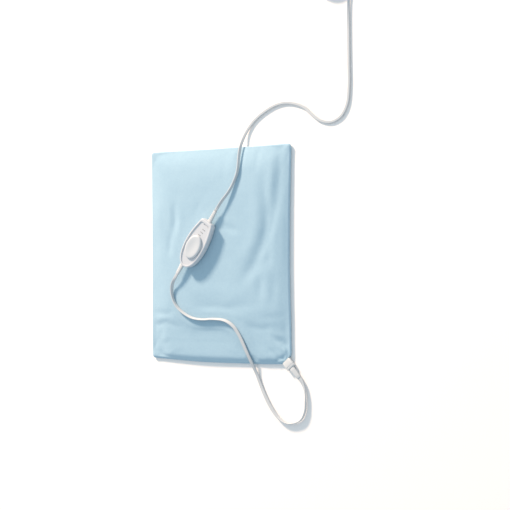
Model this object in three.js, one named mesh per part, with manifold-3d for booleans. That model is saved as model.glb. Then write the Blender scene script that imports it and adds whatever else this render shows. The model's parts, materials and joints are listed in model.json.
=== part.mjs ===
// Heating pad with a slide control on its cord, in millimetres, +Z up.
// The origin is the centre of the pad's underside; +Y runs along the pad's long side.
import * as THREE from "three";
import { mergeVertices } from "three/addons/utils/BufferGeometryUtils.js";
import Module from "manifold-3d";

const wasm = await Module();
wasm.setup();

// Clearances
const GAP = 0.3; // between pieces that touch
const SLIDE_CLEARANCE = 0.5; // round the slide's stem in its slot
const OVERCUT = 1; // how far a cutting tool runs past the face that it opens

// Pad: the cover and the layers in it
const PAD_WIDTH = 305;
const PAD_LENGTH = 381;
const PAD_CORNER_RADIUS = 9;
const PAD_LEAST_CORNER_RADIUS = 1;
const PAD_SIDE_DRAW_IN = 2.5;
const PAD_RIM_HEIGHT = 7;
const COVER_WALL = 0.8;
const VINYL_WALL = 1;
const LOWER_BATTING_THICKNESS = 3;
const CARRIER_THICKNESS = 1;
const HEATING_WIRE_DIAMETER = 2.2;
const UPPER_BATTING_THICKNESS = 3;
const UPPER_BATTING_RIM = 0.5;
const BATTING_SLACK = 0.3;
const VINYL_INSET = 4;
const LOWER_BATTING_INSET = 10;
const CARRIER_INSET = 17;
const UPPER_BATTING_INSET = 33;
const EDGE_TUCK = 0.985;
const EDGE_BULGE = 0.45;
const CROWN_POWER = 8;
const CROWN_RINGS = [1, 0.97, 0.93, 0.87, 0.78, 0.6, 0.3];

// Heating circuits
const MEANDER_RUNS = 6;
const MEANDER_SIDE_MARGIN = 52.5; // from the pad's side to the first run's middle
const MEANDER_END_MARGIN = 72.5; // from the pad's end to the straight runs' ends
const TRACK_OFFSET = 10;
const MEANDER_TURN_STEPS = 6;
const THERMOSTAT_WIDTH = 6.5;
const THERMOSTAT_LENGTH = 16;
const THERMOSTAT_THICKNESS = 3;
const SPLICE_WIDTH = 26;
const SPLICE_LENGTH = 9;
const TAIL_DIAMETER = 1.8;
const TAIL_ROW_INSET = 27.5;
const TAIL_PITCH = 3.6;
const TAIL_STRAIGHT = 4; // out of the block's tongue
const TAIL_RISE_RUN = 12;
const TAIL_END_RUN = 8; // up to a thermostat
const TAIL_BEND_RUN = 12;
const TAIL_BEND_CHAMFER = 3;
const TAIL_ROW_SHORTFALL = 10;

// Corner block, where the lead leaves the pad
const BLOCK_SIDE_INSET = 11.4;
const BLOCK_END_INSET = 6.6;
const BLOCK_ANGLE = -48;
const BLOCK_WIDTH = 17.5;
const BLOCK_LENGTH = 16;
const BLOCK_BASE = 0.4;
const BLOCK_HEIGHT = 7;
const BLOCK_EDGE = 0.8;
const BLOCK_TONGUE_WIDTH = 10.4;
const BLOCK_TONGUE_LENGTH = 14;
const BLOCK_TONGUE_HEIGHT = 3;
const MOUTH_MARGIN = 2;
const MOUTH_SETBACK = 11;
const MOUTH_REACH = 60;
const TAIL_POCKET_LENGTH = 26;

// Cords
const LEAD_WIDTH = 6;
const LEAD_THICKNESS = 2.7;
const SUPPLY_WIDTH = 5.4;
const SUPPLY_THICKNESS = 2.7;
const CORD_EDGE = 0.9;
const CORD_STEP = 16;
const CORD_FIRST_DIP = 0.2; // one width out of a sleeve
const RELIEF_LENGTH = 22;
const RELIEF_WALL = 1.4;
const RELIEF_TIP_WALL = 0.5;
const RELIEF_SIDES = 14;

// Coil of the supply cord
const COIL_TURNS = 7.25;
const COIL_RADIUS = 37.5;
const COIL_PITCH = 3.6;
const COIL_LAYER_GAP = 0.7;
const COIL_STEPS_PER_TURN = 24;
const COIL_CLIMB_TURNS = 0.5; // from the lower layer to the upper one
const COIL_X = 231;
const COIL_Y = 476;
const TIE_WALL = 0.8;
const TIE_WIDTH = 7;
const TIE_ANGLE = 225;
const TIE_SLACK = 0.6;

// Two-pin plug
const PLUG_LENGTH = 26;
const PLUG_WIDTH = 24;
const PLUG_NECK_WIDTH = 13;
const PLUG_HEIGHT = 14;
const PLUG_EDGE = 2;
const BLADE_LENGTH = 16;
const BLADE_ROOT = 7;
const BLADE_THICKNESS = 1.5;
const BLADE_SPACING = 12.7;
const BLADE_WIDE = 7.9;
const BLADE_NARROW = 6.35;
const TAIL_LENGTH = 34;

// Control case
const CONTROL_X = -35;
const CONTROL_Y = 19;
const CONTROL_ANGLE = 55;
const CASE_LENGTH = 96;
const CASE_WIDTH = 44;
const CASE_HEIGHT = 15;
const CASE_END_WIDTH = 27;
const CASE_END_CORNER = 5;
const CASE_WALL = 2;
const CASE_FLOOR = 1.8;
const CASE_ROOF = 2;
const CASE_EDGE = 1.6;
const PARTING_HEIGHT = 7;
const HULL_INSET = 4.5; // of the underside from the widest outline
const HULL_STEPS = 4;
const RECESS_DEPTH = 1.6;
const RECESS_RIM = 3;
const RECESS_END_WALL = 6.5;
const CURVE_STEPS = 9;

// Slide and switch
const SLIDE_LENGTH = 46;
const SLIDE_WIDTH = 31;
const SLIDE_SKIRT = 1.6;
const SLIDE_RISE = 3.4;
const SLIDE_DISH = 0.8;
const SLIDE_SHOULDER = 3.5; // width of the rounded shoulder above the skirt
const SLIDE_SHOULDER_DROP = 0.5;
const SLIDE_REST_X = -6.5;
const DETENT_PITCH = 5.2;
const DETENT_STEPS = 3;
const STEM_LENGTH = 8;
const STEM_WIDTH = 6;
const CARRIER_PLATE_LENGTH = 26;
const CARRIER_PLATE_WIDTH = 17;
const CARRIER_PLATE_THICKNESS = 2;
const NOTCH_DEPTH = 1.2;
const NOTCH_HALF = 1.6;
const WIPER_WIDTH = 10;
const WIPER_ARM = 2;
const WIPER_LENGTH = 3;
const WIPER_SHEET = 0.5;
const BOARD_END_ROOM = 46; // for the cord ends, at both ends together
const BOARD_WIDTH = 22;
const BOARD_THICKNESS = 1.6;
const BOARD_X = 4;
const BOARD_HEIGHT = 3.6;
const CONTACT_THICKNESS = 0.4;
const CONTACT_PAD_LENGTH = 3.6;
const SPRING_SHEET = 0.4;
const SPRING_HEIGHT = 1.6;
const SPRING_HALF_SPAN = 9;
const SPRING_STANDOFF = 2; // of the leaf's ends from the carrier's edge
const SPRING_TIP_CLEARANCE = 0.5; // of the V tip in its notch
const PEG_RADIUS = 1;
const POST_RADIUS = 3.4;
const SCREW_HEAD_RADIUS = 2.4;
const SCREW_HEAD_HEIGHT = 2;
const SCREW_HEAD_SINK = 0.2;
const SCREW_RADIUS = 1.1;
const SCREW_BITE = 3.4;
const SCREW_FRONT_INSET = 15;
const SCREW_FRONT_SPACING = 15;
const SCREW_BACK_INSET = 23;
const SCREW_BACK_SPACING = 24.4;
const STANDOFF_RADIUS = 2;
const DIODE_RADIUS = 1.4;
const DIODE_LENGTH = 6;
const DIODE_SETBACK = 7; // from the board's end
const FUSE_RADIUS = 1.6;
const FUSE_LENGTH = 9;
const CLAMP_LENGTH = 4;
const CLAMP_HEIGHT = 1.8;
const CLAMP_MARGIN = 2;
const CLAMP_SETBACK = 2; // from a collar
const CORE_DIAMETER = 1.4;
const CORE_PITCH = 2;
const CORE_STRAIGHT = 7; // out of a collar
const CORE_LANDING = 3; // on to the board
const CORE_DROP_RUN = 3; // short of the board
const COLLAR_LENGTH = 2;
const COLLAR_LIP = 1.2;
const SUPPLY_COLLAR_ROOM = 1.2; // between its collar and the curved end wall
const LEAD_EXIT_Y = 6.5;
const LEAD_COLLAR_SETBACK = 13; // of the lead's collar from the tail's end
const LEAD_NECK = 9.9; // of the lead's sleeve, through the slanting tail wall
const ROUND_SIDES = 16;

// Heights that follow from the layers
const vinylLowerZ = COVER_WALL + GAP;
const lowerBattingZ = vinylLowerZ + VINYL_WALL + GAP;
const carrierZ = lowerBattingZ + LOWER_BATTING_THICKNESS + GAP;
const wireZ = carrierZ + CARRIER_THICKNESS + GAP;
const upperBattingZ = wireZ + HEATING_WIRE_DIAMETER + GAP;
const vinylCrown = upperBattingZ + UPPER_BATTING_THICKNESS + GAP + VINYL_WALL;
const padCrown = vinylCrown + GAP + COVER_WALL;
const vinylRim = PAD_RIM_HEIGHT - COVER_WALL - GAP;
const wireAxisZ = wireZ + HEATING_WIRE_DIAMETER / 2;

// Places in plan that follow from the pad's size
const firstRunX = PAD_WIDTH / 2 - MEANDER_SIDE_MARGIN;
const meanderPitch = (2 * firstRunX) / (MEANDER_RUNS - 1);
const meanderEnd = PAD_LENGTH / 2 - MEANDER_END_MARGIN;
const tailRowY = -PAD_LENGTH / 2 + TAIL_ROW_INSET;
const blockX = PAD_WIDTH / 2 - BLOCK_SIDE_INSET;
const blockY = -PAD_LENGTH / 2 + BLOCK_END_INSET;

// Sizes of the control that follow from the case
const slideTravel = DETENT_PITCH * DETENT_STEPS;
const recessFloor = CASE_HEIGHT - RECESS_DEPTH;
const ceiling = recessFloor - CASE_ROOF;
const carrierPlateTop = ceiling - GAP;
const carrierPlateZ = carrierPlateTop - CARRIER_PLATE_THICKNESS;
const boardTop = BOARD_HEIGHT + BOARD_THICKNESS;
const contactZ = boardTop + GAP;
const contactTop = contactZ + CONTACT_THICKNESS;
const cordAxisZ = PARTING_HEIGHT + GAP / 2;
const caseEnd = CASE_LENGTH / 2;
const boardHalf = (CASE_LENGTH - BOARD_END_ROOM) / 2;
const screwPlaces = [
  [caseEnd - SCREW_FRONT_INSET, SCREW_FRONT_SPACING / 2],
  [caseEnd - SCREW_FRONT_INSET, -SCREW_FRONT_SPACING / 2],
  [-caseEnd + SCREW_BACK_INSET, SCREW_BACK_SPACING / 2],
  [-caseEnd + SCREW_BACK_INSET, -SCREW_BACK_SPACING / 2],
];

// Finishes: colour, roughness and metalness
const FINISH = {
  fabric: [0xb9d8e8, 0.95, 0],
  vinyl: [0xe9e6dc, 0.5, 0],
  batting: [0xf3f1ea, 1, 0],
  felt: [0xd9d4c6, 1, 0],
  wire: [0xe8e2d2, 0.6, 0],
  tailWire: [0xf2efe8, 0.5, 0],
  whitePlastic: [0xe6e6e4, 0.4, 0],
  cordPlastic: [0xe2e1dd, 0.5, 0],
  innerPlastic: [0xcfcfca, 0.5, 0],
  board: [0xb58a4a, 0.6, 0],
  copper: [0xc98a55, 0.35, 1],
  steel: [0xbfc2c5, 0.35, 1],
  brass: [0xcdb06a, 0.3, 1],
  black: [0x2a2a2c, 0.5, 0],
};

const part = new THREE.Group();

// Adds one named piece to a group
function piece(parent, name, geometry, finish) {
  const [color, roughness, metalness] = FINISH[finish];
  const mesh = new THREE.Mesh(geometry, new THREE.MeshStandardMaterial({ color, roughness, metalness }));
  mesh.name = name;
  parent.add(mesh);
  return mesh;
}

// Closed mesh with merged vertices as a solid for joins and cuts
function toSolid(geometry) {
  const bare = geometry.clone();
  bare.deleteAttribute("normal");
  bare.deleteAttribute("uv");
  const merged = mergeVertices(bare, 1e-4);
  const vertProperties = new Float32Array(merged.attributes.position.array);
  const triVerts = new Uint32Array(merged.index.array);
  return new wasm.Manifold(new wasm.Mesh({ numProp: 3, vertProperties, triVerts }));
}

function toGeometry(solid) {
  const { vertProperties, triVerts } = solid.getMesh();
  const geometry = new THREE.BufferGeometry();
  geometry.setAttribute("position", new THREE.BufferAttribute(vertProperties, 3));
  geometry.setIndex(new THREE.BufferAttribute(triVerts, 1));
  return geometry;
}

function subtract(base, ...tools) {
  return toGeometry(tools.reduce((left, tool) => left.subtract(toSolid(tool)), toSolid(base)));
}

function unite(base, ...others) {
  return toGeometry(others.reduce((joined, other) => joined.add(toSolid(other)), toSolid(base)));
}

// Box between two corners
function boxBetween(low, high) {
  const size = high.map((value, i) => value - low[i]);
  const middle = high.map((value, i) => (value + low[i]) / 2);
  return new THREE.BoxGeometry(...size).translate(...middle);
}

// Upright cylinder from one height to another
function post(radius, x, y, from, to) {
  const geometry = new THREE.CylinderGeometry(radius, radius, to - from, ROUND_SIDES);
  return geometry.rotateX(Math.PI / 2).translate(x, y, (from + to) / 2);
}

// Prism on an outline in plan, with rounded edges when edge is given
function prism(points, from, to, edge = 0) {
  const settings = { depth: to - from - 2 * edge, bevelEnabled: edge > 0, steps: 1 };
  Object.assign(settings, { bevelThickness: edge, bevelSize: edge, bevelOffset: -edge, bevelSegments: 2 });
  return new THREE.ExtrudeGeometry(new THREE.Shape(points), settings).translate(0, 0, from + edge);
}

// Outline moved inwards along its own normals; the outline runs counter-clockwise
function insetOutline(points, inset) {
  return points.map((point, i) => {
    const before = points[(i + points.length - 1) % points.length];
    const after = points[(i + 1) % points.length];
    const along = after.clone().sub(before).normalize();
    return new THREE.Vector2(point.x - along.y * inset, point.y + along.x * inset);
  });
}

// Path of a tube: points with their directions and the roll of the section about them
class TubePath extends THREE.Curve {
  constructor(frames) {
    super();
    this.frames = frames;
  }

  getSpacedPoints() {
    return this.frames.map((frame) => frame.point);
  }

  computeFrenetFrames() {
    const up = new THREE.Vector3(0, 0, 1);
    const tangents = this.frames.map((frame) => frame.tangent);
    const normals = this.frames.map(({ tangent, roll }) => {
      const side = up.clone().cross(tangent).normalize();
      return side.applyAxisAngle(tangent, THREE.MathUtils.degToRad(roll));
    });
    const binormals = tangents.map((tangent, i) => tangent.clone().cross(normals[i]).normalize());
    return { tangents, normals, binormals };
  }
}

// Frames at the corners of a chain of points
function chainFrames(points) {
  return points.map((point, i) => {
    const before = points[Math.max(i - 1, 0)];
    const after = points[Math.min(i + 1, points.length - 1)];
    return { point, tangent: after.clone().sub(before).normalize(), roll: 0 };
  });
}

// Frames at even steps on a smooth curve through points of x, y, z and roll
function curveFrames(route, step) {
  const curve = new THREE.CatmullRomCurve3(route.map(([x, y, z]) => new THREE.Vector3(x, y, z)));
  const count = Math.max(2, Math.round(curve.getLength() / step));
  return Array.from({ length: count + 1 }, (_, i) => {
    const share = curve.getUtoTmapping(i / count) * (route.length - 1);
    const from = Math.min(Math.floor(share), route.length - 2);
    const roll = THREE.MathUtils.lerp(route[from][3], route[from + 1][3], share - from);
    return { point: curve.getPointAt(i / count), tangent: curve.getTangentAt(i / count), roll };
  });
}

function tube(section, frames) {
  const settings = { steps: frames.length - 1, bevelEnabled: false, extrudePath: new TubePath(frames) };
  return new THREE.ExtrudeGeometry(section, settings);
}

// Sections: a flat cord of eight sides, the coil's of six, and a round wire
function flatSection(width, thickness) {
  const x = width / 2;
  const y = thickness / 2;
  const corners = [[x, y - CORD_EDGE], [x - CORD_EDGE, y], [CORD_EDGE - x, y], [-x, y - CORD_EDGE]];
  const lower = corners.map(([cx, cy]) => [-cx, -cy]);
  return new THREE.Shape([...corners, ...lower].map(([cx, cy]) => new THREE.Vector2(cx, cy)));
}

function coilSection(width, thickness) {
  const x = width / 2;
  const y = thickness / 2;
  const flat = x - CORD_EDGE;
  const corners = [[x, 0], [flat, y], [-flat, y], [-x, 0], [-flat, -y], [flat, -y]];
  return new THREE.Shape(corners.map(([cx, cy]) => new THREE.Vector2(cx, cy)));
}

function roundSection(diameter, sides) {
  const angles = Array.from({ length: sides }, (_, i) => (2 * Math.PI * i) / sides);
  const radius = diameter / 2;
  return new THREE.Shape(angles.map((a) => new THREE.Vector2(radius * Math.cos(a), radius * Math.sin(a))));
}

// Round piece turned on a profile of [along, radius] points, lying along +X and flattened upwards
function turned(profile, sides, flatten = 1) {
  const points = profile.map(([along, radius]) => new THREE.Vector2(radius, along));
  const geometry = new THREE.LatheGeometry(points, sides);
  return geometry.rotateZ(-Math.PI / 2).scale(1, 1, flatten);
}

// Tapered sleeve that a flat cord leaves by, from x = 0 along +X
function sleeve(width, thickness) {
  const root = width / 2 + RELIEF_WALL;
  const tip = width / 2 + RELIEF_TIP_WALL;
  const flatten = (thickness / 2 + RELIEF_WALL) / root;
  return turned([[0, 0], [0, root], [RELIEF_LENGTH, tip], [RELIEF_LENGTH, 0]], RELIEF_SIDES, flatten);
}

// Outline of the pad in plan: rounded corners, with the sides drawn in between them
function padOutline(inset) {
  const cornerSteps = 4;
  const sideSteps = 6;
  const radius = Math.max(PAD_CORNER_RADIUS - inset, PAD_LEAST_CORNER_RADIUS);
  const reachX = PAD_WIDTH / 2 - inset - radius;
  const reachY = PAD_LENGTH / 2 - inset - radius;
  const centres = [[reachX, reachY], [-reachX, reachY], [-reachX, -reachY], [reachX, -reachY]];
  const points = [];
  centres.forEach(([x, y], corner) => {
    for (let i = 0; i <= cornerSteps; i += 1) {
      const angle = ((corner + i / cornerSteps) * Math.PI) / 2;
      points.push(new THREE.Vector2(x + radius * Math.cos(angle), y + radius * Math.sin(angle)));
    }
    const angle = ((corner + 1) * Math.PI) / 2;
    const outward = new THREE.Vector2(Math.cos(angle), Math.sin(angle));
    const start = new THREE.Vector2(x, y).addScaledVector(outward, radius);
    const end = new THREE.Vector2(...centres[(corner + 1) % 4]).addScaledVector(outward, radius);
    for (let i = 1; i < sideSteps; i += 1) {
      const share = i / sideSteps;
      const drawIn = PAD_SIDE_DRAW_IN * Math.sin(Math.PI * share);
      points.push(start.clone().lerp(end, share).addScaledVector(outward, -drawIn));
    }
  });
  return points;
}

// Closed body through rings of the same outline, each with its scales along x and y and its height
function stack(outline, rings, crown) {
  const count = outline.length;
  const positions = rings.flatMap(([sx, sy, z]) => outline.flatMap(({ x, y }) => [x * sx, y * sy, z]));
  const bottom = rings.length * count;
  const top = bottom + 1;
  positions.push(0, 0, rings[0][2], 0, 0, crown);
  const faces = [];
  const last = (rings.length - 1) * count;
  for (let j = 0; j < count; j += 1) {
    const next = (j + 1) % count;
    faces.push(bottom, next, j, top, last + j, last + next);
    for (let ring = 0; ring < last; ring += count) {
      faces.push(ring + j, ring + next, ring + count + next, ring + j, ring + count + next, ring + count + j);
    }
  }
  const geometry = new THREE.BufferGeometry();
  geometry.setAttribute("position", new THREE.Float32BufferAttribute(positions, 3));
  geometry.setIndex(faces);
  return geometry;
}

// Pillow on the pad's outline: flat below, rounded at the rim and crowned above
function pillow(inset, floor, rim, crown) {
  const crownRings = CROWN_RINGS.map((s) => [EDGE_TUCK * s, rim + (crown - rim) * (1 - s ** CROWN_POWER)]);
  const rings = [[EDGE_TUCK, floor], [1, floor + EDGE_BULGE * (rim - floor)], ...crownRings];
  return stack(padOutline(inset), rings.map(([scale, z]) => [scale, scale, z]), crown);
}

// Places a shape drawn in the corner block's own frame: x along the lead, y across it
function atBlock(geometry) {
  return geometry.rotateZ(THREE.MathUtils.degToRad(BLOCK_ANGLE)).translate(blockX, blockY, 0);
}

function blockPoint(along, across, z) {
  const angle = THREE.MathUtils.degToRad(BLOCK_ANGLE);
  const point = new THREE.Vector3(along, across, z).applyAxisAngle(new THREE.Vector3(0, 0, 1), angle);
  return point.add(new THREE.Vector3(blockX, blockY, 0));
}

// Cutting tool that opens a layer's corner for the block, set back from the mouth
function mouthTool(setback) {
  const halfWidth = BLOCK_WIDTH / 2 + MOUTH_MARGIN;
  return atBlock(boxBetween([-setback, -halfWidth, -OVERCUT], [MOUTH_REACH, halfWidth, 2 * padCrown]));
}

function buildLayers() {
  const cover = pillow(0, 0, PAD_RIM_HEIGHT, padCrown);
  const hollow = pillow(COVER_WALL, COVER_WALL, PAD_RIM_HEIGHT - COVER_WALL, padCrown - COVER_WALL);
  piece(part, "fabric_cover", subtract(cover, hollow, mouthTool(0)), "fabric");

  const lowerSheet = prism(padOutline(VINYL_INSET), vinylLowerZ, vinylLowerZ + VINYL_WALL);
  piece(part, "vinyl_lower", subtract(lowerSheet, mouthTool(MOUTH_SETBACK)), "vinyl");
  const upperSheet = pillow(VINYL_INSET, lowerBattingZ, vinylRim, vinylCrown);
  const underside = pillow(
    VINYL_INSET + VINYL_WALL,
    lowerBattingZ - OVERCUT,
    vinylRim - VINYL_WALL,
    vinylCrown - VINYL_WALL,
  );
  piece(part, "vinyl_upper", subtract(upperSheet, underside, mouthTool(MOUTH_SETBACK)), "vinyl");

  const pocket = mouthTool(TAIL_POCKET_LENGTH + BLOCK_TONGUE_LENGTH);
  const lowerBattingTop = lowerBattingZ + LOWER_BATTING_THICKNESS;
  const lowerBatting = prism(padOutline(LOWER_BATTING_INSET), lowerBattingZ, lowerBattingTop);
  piece(part, "lower_batting", subtract(lowerBatting, pocket), "batting");
  const carrier = prism(padOutline(CARRIER_INSET), carrierZ, carrierZ + CARRIER_THICKNESS);
  piece(part, "element_carrier", subtract(carrier, pocket), "felt");
  const upperBatting = pillow(
    UPPER_BATTING_INSET,
    upperBattingZ,
    upperBattingZ + UPPER_BATTING_RIM,
    upperBattingZ + UPPER_BATTING_THICKNESS - BATTING_SLACK,
  );
  const pockets = [1, -1].map((side) => thermostat(side, GAP));
  piece(part, "upper_batting", subtract(upperBatting, ...pockets), "batting");
}

// Track of one heating circuit: side is +1 for the outer track of the first turn, -1 for the inner one
function heatingTrack(side) {
  const points = [];
  for (let run = 0; run < MEANDER_RUNS; run += 1) {
    const upward = run % 2 === 0 ? 1 : -1;
    const x = firstRunX - run * meanderPitch + side * upward * TRACK_OFFSET;
    points.push(new THREE.Vector3(x, -upward * meanderEnd, wireAxisZ));
    points.push(new THREE.Vector3(x, upward * meanderEnd, wireAxisZ));
    const radius = meanderPitch / 2 + side * upward * TRACK_OFFSET;
    for (let i = 1; i < MEANDER_TURN_STEPS && run < MEANDER_RUNS - 1; i += 1) {
      const angle = (Math.PI * i) / MEANDER_TURN_STEPS;
      const turnX = x - radius + radius * Math.cos(angle);
      const turnY = upward * (meanderEnd + radius * Math.sin(angle));
      points.push(new THREE.Vector3(turnX, turnY, wireAxisZ));
    }
  }
  return points;
}

// Thermostat in line with a circuit's start, grown by a margin for its pocket
function thermostat(side, margin = 0) {
  const x = firstRunX + side * TRACK_OFFSET;
  const top = -meanderEnd - GAP;
  const half = THERMOSTAT_WIDTH / 2;
  const low = [x - half - margin, top - THERMOSTAT_LENGTH - margin, wireZ - margin];
  const high = [x + half + margin, top + margin, wireZ + THERMOSTAT_THICKNESS + margin];
  return boxBetween(low, high);
}

function buildElement() {
  const wire = roundSection(HEATING_WIRE_DIAMETER, 6);
  const tail = roundSection(TAIL_DIAMETER, 6);
  const tailAxisZ = wireZ + TAIL_DIAMETER / 2;
  const tongueAxisZ = lowerBattingZ + BLOCK_TONGUE_HEIGHT / 2;
  const tailStart = -BLOCK_TONGUE_LENGTH - GAP;
  const thermostatEnd = -meanderEnd - 2 * GAP - THERMOSTAT_LENGTH;
  // Each tail leaves the block's tongue, rises in the corner pocket and runs to its own end
  const rise = (across) => [
    blockPoint(tailStart, across, tongueAxisZ),
    blockPoint(tailStart - TAIL_STRAIGHT, across, tongueAxisZ),
    blockPoint(tailStart - TAIL_STRAIGHT - TAIL_RISE_RUN, across, tailAxisZ),
  ];
  const circuits = { low: 1, high: -1 };
  for (const [name, side] of Object.entries(circuits)) {
    const x = firstRunX + side * TRACK_OFFSET;
    piece(part, `heating_wire_${name}`, tube(wire, chainFrames(heatingTrack(side))), "wire");
    piece(part, `thermostat_${name}`, thermostat(side), "black");
    const across = side > 0 ? TAIL_PITCH : 0;
    const end = [
      new THREE.Vector3(x, thermostatEnd - TAIL_END_RUN, tailAxisZ),
      new THREE.Vector3(x, thermostatEnd, tailAxisZ),
    ];
    piece(part, `tail_${name}`, tube(tail, chainFrames([...rise(across), ...end])), "tailWire");
  }
  const spliceTop = -meanderEnd - GAP;
  const spliceLow = [-firstRunX - SPLICE_WIDTH / 2, spliceTop - SPLICE_LENGTH, wireZ];
  const spliceHigh = [-firstRunX + SPLICE_WIDTH / 2, spliceTop, wireZ + HEATING_WIRE_DIAMETER];
  piece(part, "element_splice", boxBetween(spliceLow, spliceHigh), "steel");
  const start = spliceTop - SPLICE_LENGTH - GAP;
  const common = [
    new THREE.Vector3(-firstRunX, start, tailAxisZ),
    new THREE.Vector3(-firstRunX, tailRowY + TAIL_BEND_RUN, tailAxisZ),
    new THREE.Vector3(-firstRunX + TAIL_BEND_CHAMFER, tailRowY + TAIL_BEND_CHAMFER, tailAxisZ),
    new THREE.Vector3(-firstRunX + TAIL_BEND_RUN, tailRowY, tailAxisZ),
    new THREE.Vector3(firstRunX - TAIL_ROW_SHORTFALL, tailRowY, tailAxisZ),
    ...rise(-TAIL_PITCH).reverse(),
  ];
  piece(part, "tail_common", tube(tail, chainFrames(common)), "tailWire");
}

function buildCornerBlock() {
  const half = BLOCK_WIDTH / 2;
  const tongueHalf = BLOCK_TONGUE_WIDTH / 2;
  const outline = [[GAP, -half], [GAP + BLOCK_LENGTH, -half], [GAP + BLOCK_LENGTH, half], [GAP, half]];
  const points = outline.map(([x, y]) => new THREE.Vector2(x, y));
  const head = prism(points, BLOCK_BASE, BLOCK_BASE + BLOCK_HEIGHT, BLOCK_EDGE);
  const tongueLow = [-BLOCK_TONGUE_LENGTH, -tongueHalf, lowerBattingZ];
  const tongueHigh = [GAP + BLOCK_EDGE + OVERCUT, tongueHalf, lowerBattingZ + BLOCK_TONGUE_HEIGHT];
  const block = unite(head, boxBetween(tongueLow, tongueHigh));
  piece(part, "corner_cord_block", atBlock(block), "cordPlastic");
  const relief = sleeve(LEAD_WIDTH, LEAD_THICKNESS);
  relief.translate(2 * GAP + BLOCK_LENGTH, 0, lowerBattingZ + BLOCK_TONGUE_HEIGHT / 2);
  piece(part, "pad_strain_relief", atBlock(relief), "cordPlastic");
}

// Outline of the control in plan: a blunt end for the supply cord, full sides and a round tail
function caseOutline() {
  const wide = CASE_WIDTH / 2;
  const end = CASE_END_WIDTH / 2;
  const shape = new THREE.Shape();
  shape.moveTo(caseEnd, 0);
  shape.lineTo(caseEnd, end - CASE_END_CORNER);
  shape.quadraticCurveTo(caseEnd, end, caseEnd - CASE_END_CORNER, end + 0.2 * CASE_END_CORNER);
  shape.bezierCurveTo(0.6 * caseEnd, 0.84 * wide, 0.3 * caseEnd, wide, -0.04 * caseEnd, wide);
  shape.bezierCurveTo(-0.54 * caseEnd, wide, -caseEnd, 0.7 * wide, -caseEnd, 0);
  const upper = shape.getPoints(CURVE_STEPS);
  const lower = upper.slice(1, -1).reverse().map(({ x, y }) => new THREE.Vector2(x, -y));
  return [...upper, ...lower];
}

// How far the hull-shaped lower shell lies inside the widest outline at a height
function hullInset(z) {
  const below = Math.max(0, 1 - z / PARTING_HEIGHT);
  return HULL_INSET * (1 - Math.sqrt(1 - below ** 2));
}

// Ring of the case's outline at a height, moved inwards
function caseRing(z, inset) {
  const inwards = inset + hullInset(z);
  return [1 - inwards / caseEnd, 1 - inwards / (CASE_WIDTH / 2), z];
}

// Collar inside the case, neck through its wall and tapered sleeve outside, along +X from the collar
function caseRelief(width, thickness, neck) {
  const root = width / 2 + RELIEF_WALL;
  const tip = width / 2 + RELIEF_TIP_WALL;
  const wallEnd = COLLAR_LENGTH + neck;
  const flatten = (thickness / 2 + RELIEF_WALL) / root;
  const profile = [
    [0, 0],
    [0, root + COLLAR_LIP],
    [COLLAR_LENGTH, root + COLLAR_LIP],
    [COLLAR_LENGTH, root],
    [wallEnd, root],
    [wallEnd + RELIEF_LENGTH, tip],
    [wallEnd + RELIEF_LENGTH, 0],
  ];
  return turned(profile, RELIEF_SIDES, flatten);
}

// Hole through the case wall for a sleeve's neck, from its collar outwards
function caseHole(width, thickness) {
  const root = width / 2 + RELIEF_WALL + GAP;
  const flatten = (thickness / 2 + RELIEF_WALL + GAP) / root;
  return turned([[0, 0], [0, root], [RELIEF_LENGTH, root], [RELIEF_LENGTH, 0]], RELIEF_SIDES, flatten);
}

// The two cord ends of the control: places a shape that lies along +X from the collar's inner face
const supplyNeck = CASE_WALL + SUPPLY_COLLAR_ROOM + GAP;
const supplyCollarX = caseEnd - CASE_WALL - SUPPLY_COLLAR_ROOM - COLLAR_LENGTH;
const leadCollarX = -caseEnd + LEAD_COLLAR_SETBACK;
const atSupplyEnd = (geometry) => geometry.translate(supplyCollarX, 0, cordAxisZ);
const atLeadEnd = (geometry) => geometry.rotateZ(Math.PI).translate(leadCollarX, LEAD_EXIT_Y, cordAxisZ);

const control = new THREE.Group();
control.position.set(CONTROL_X, CONTROL_Y, padCrown + GAP);
control.rotation.z = THREE.MathUtils.degToRad(CONTROL_ANGLE);
part.add(control);

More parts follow.
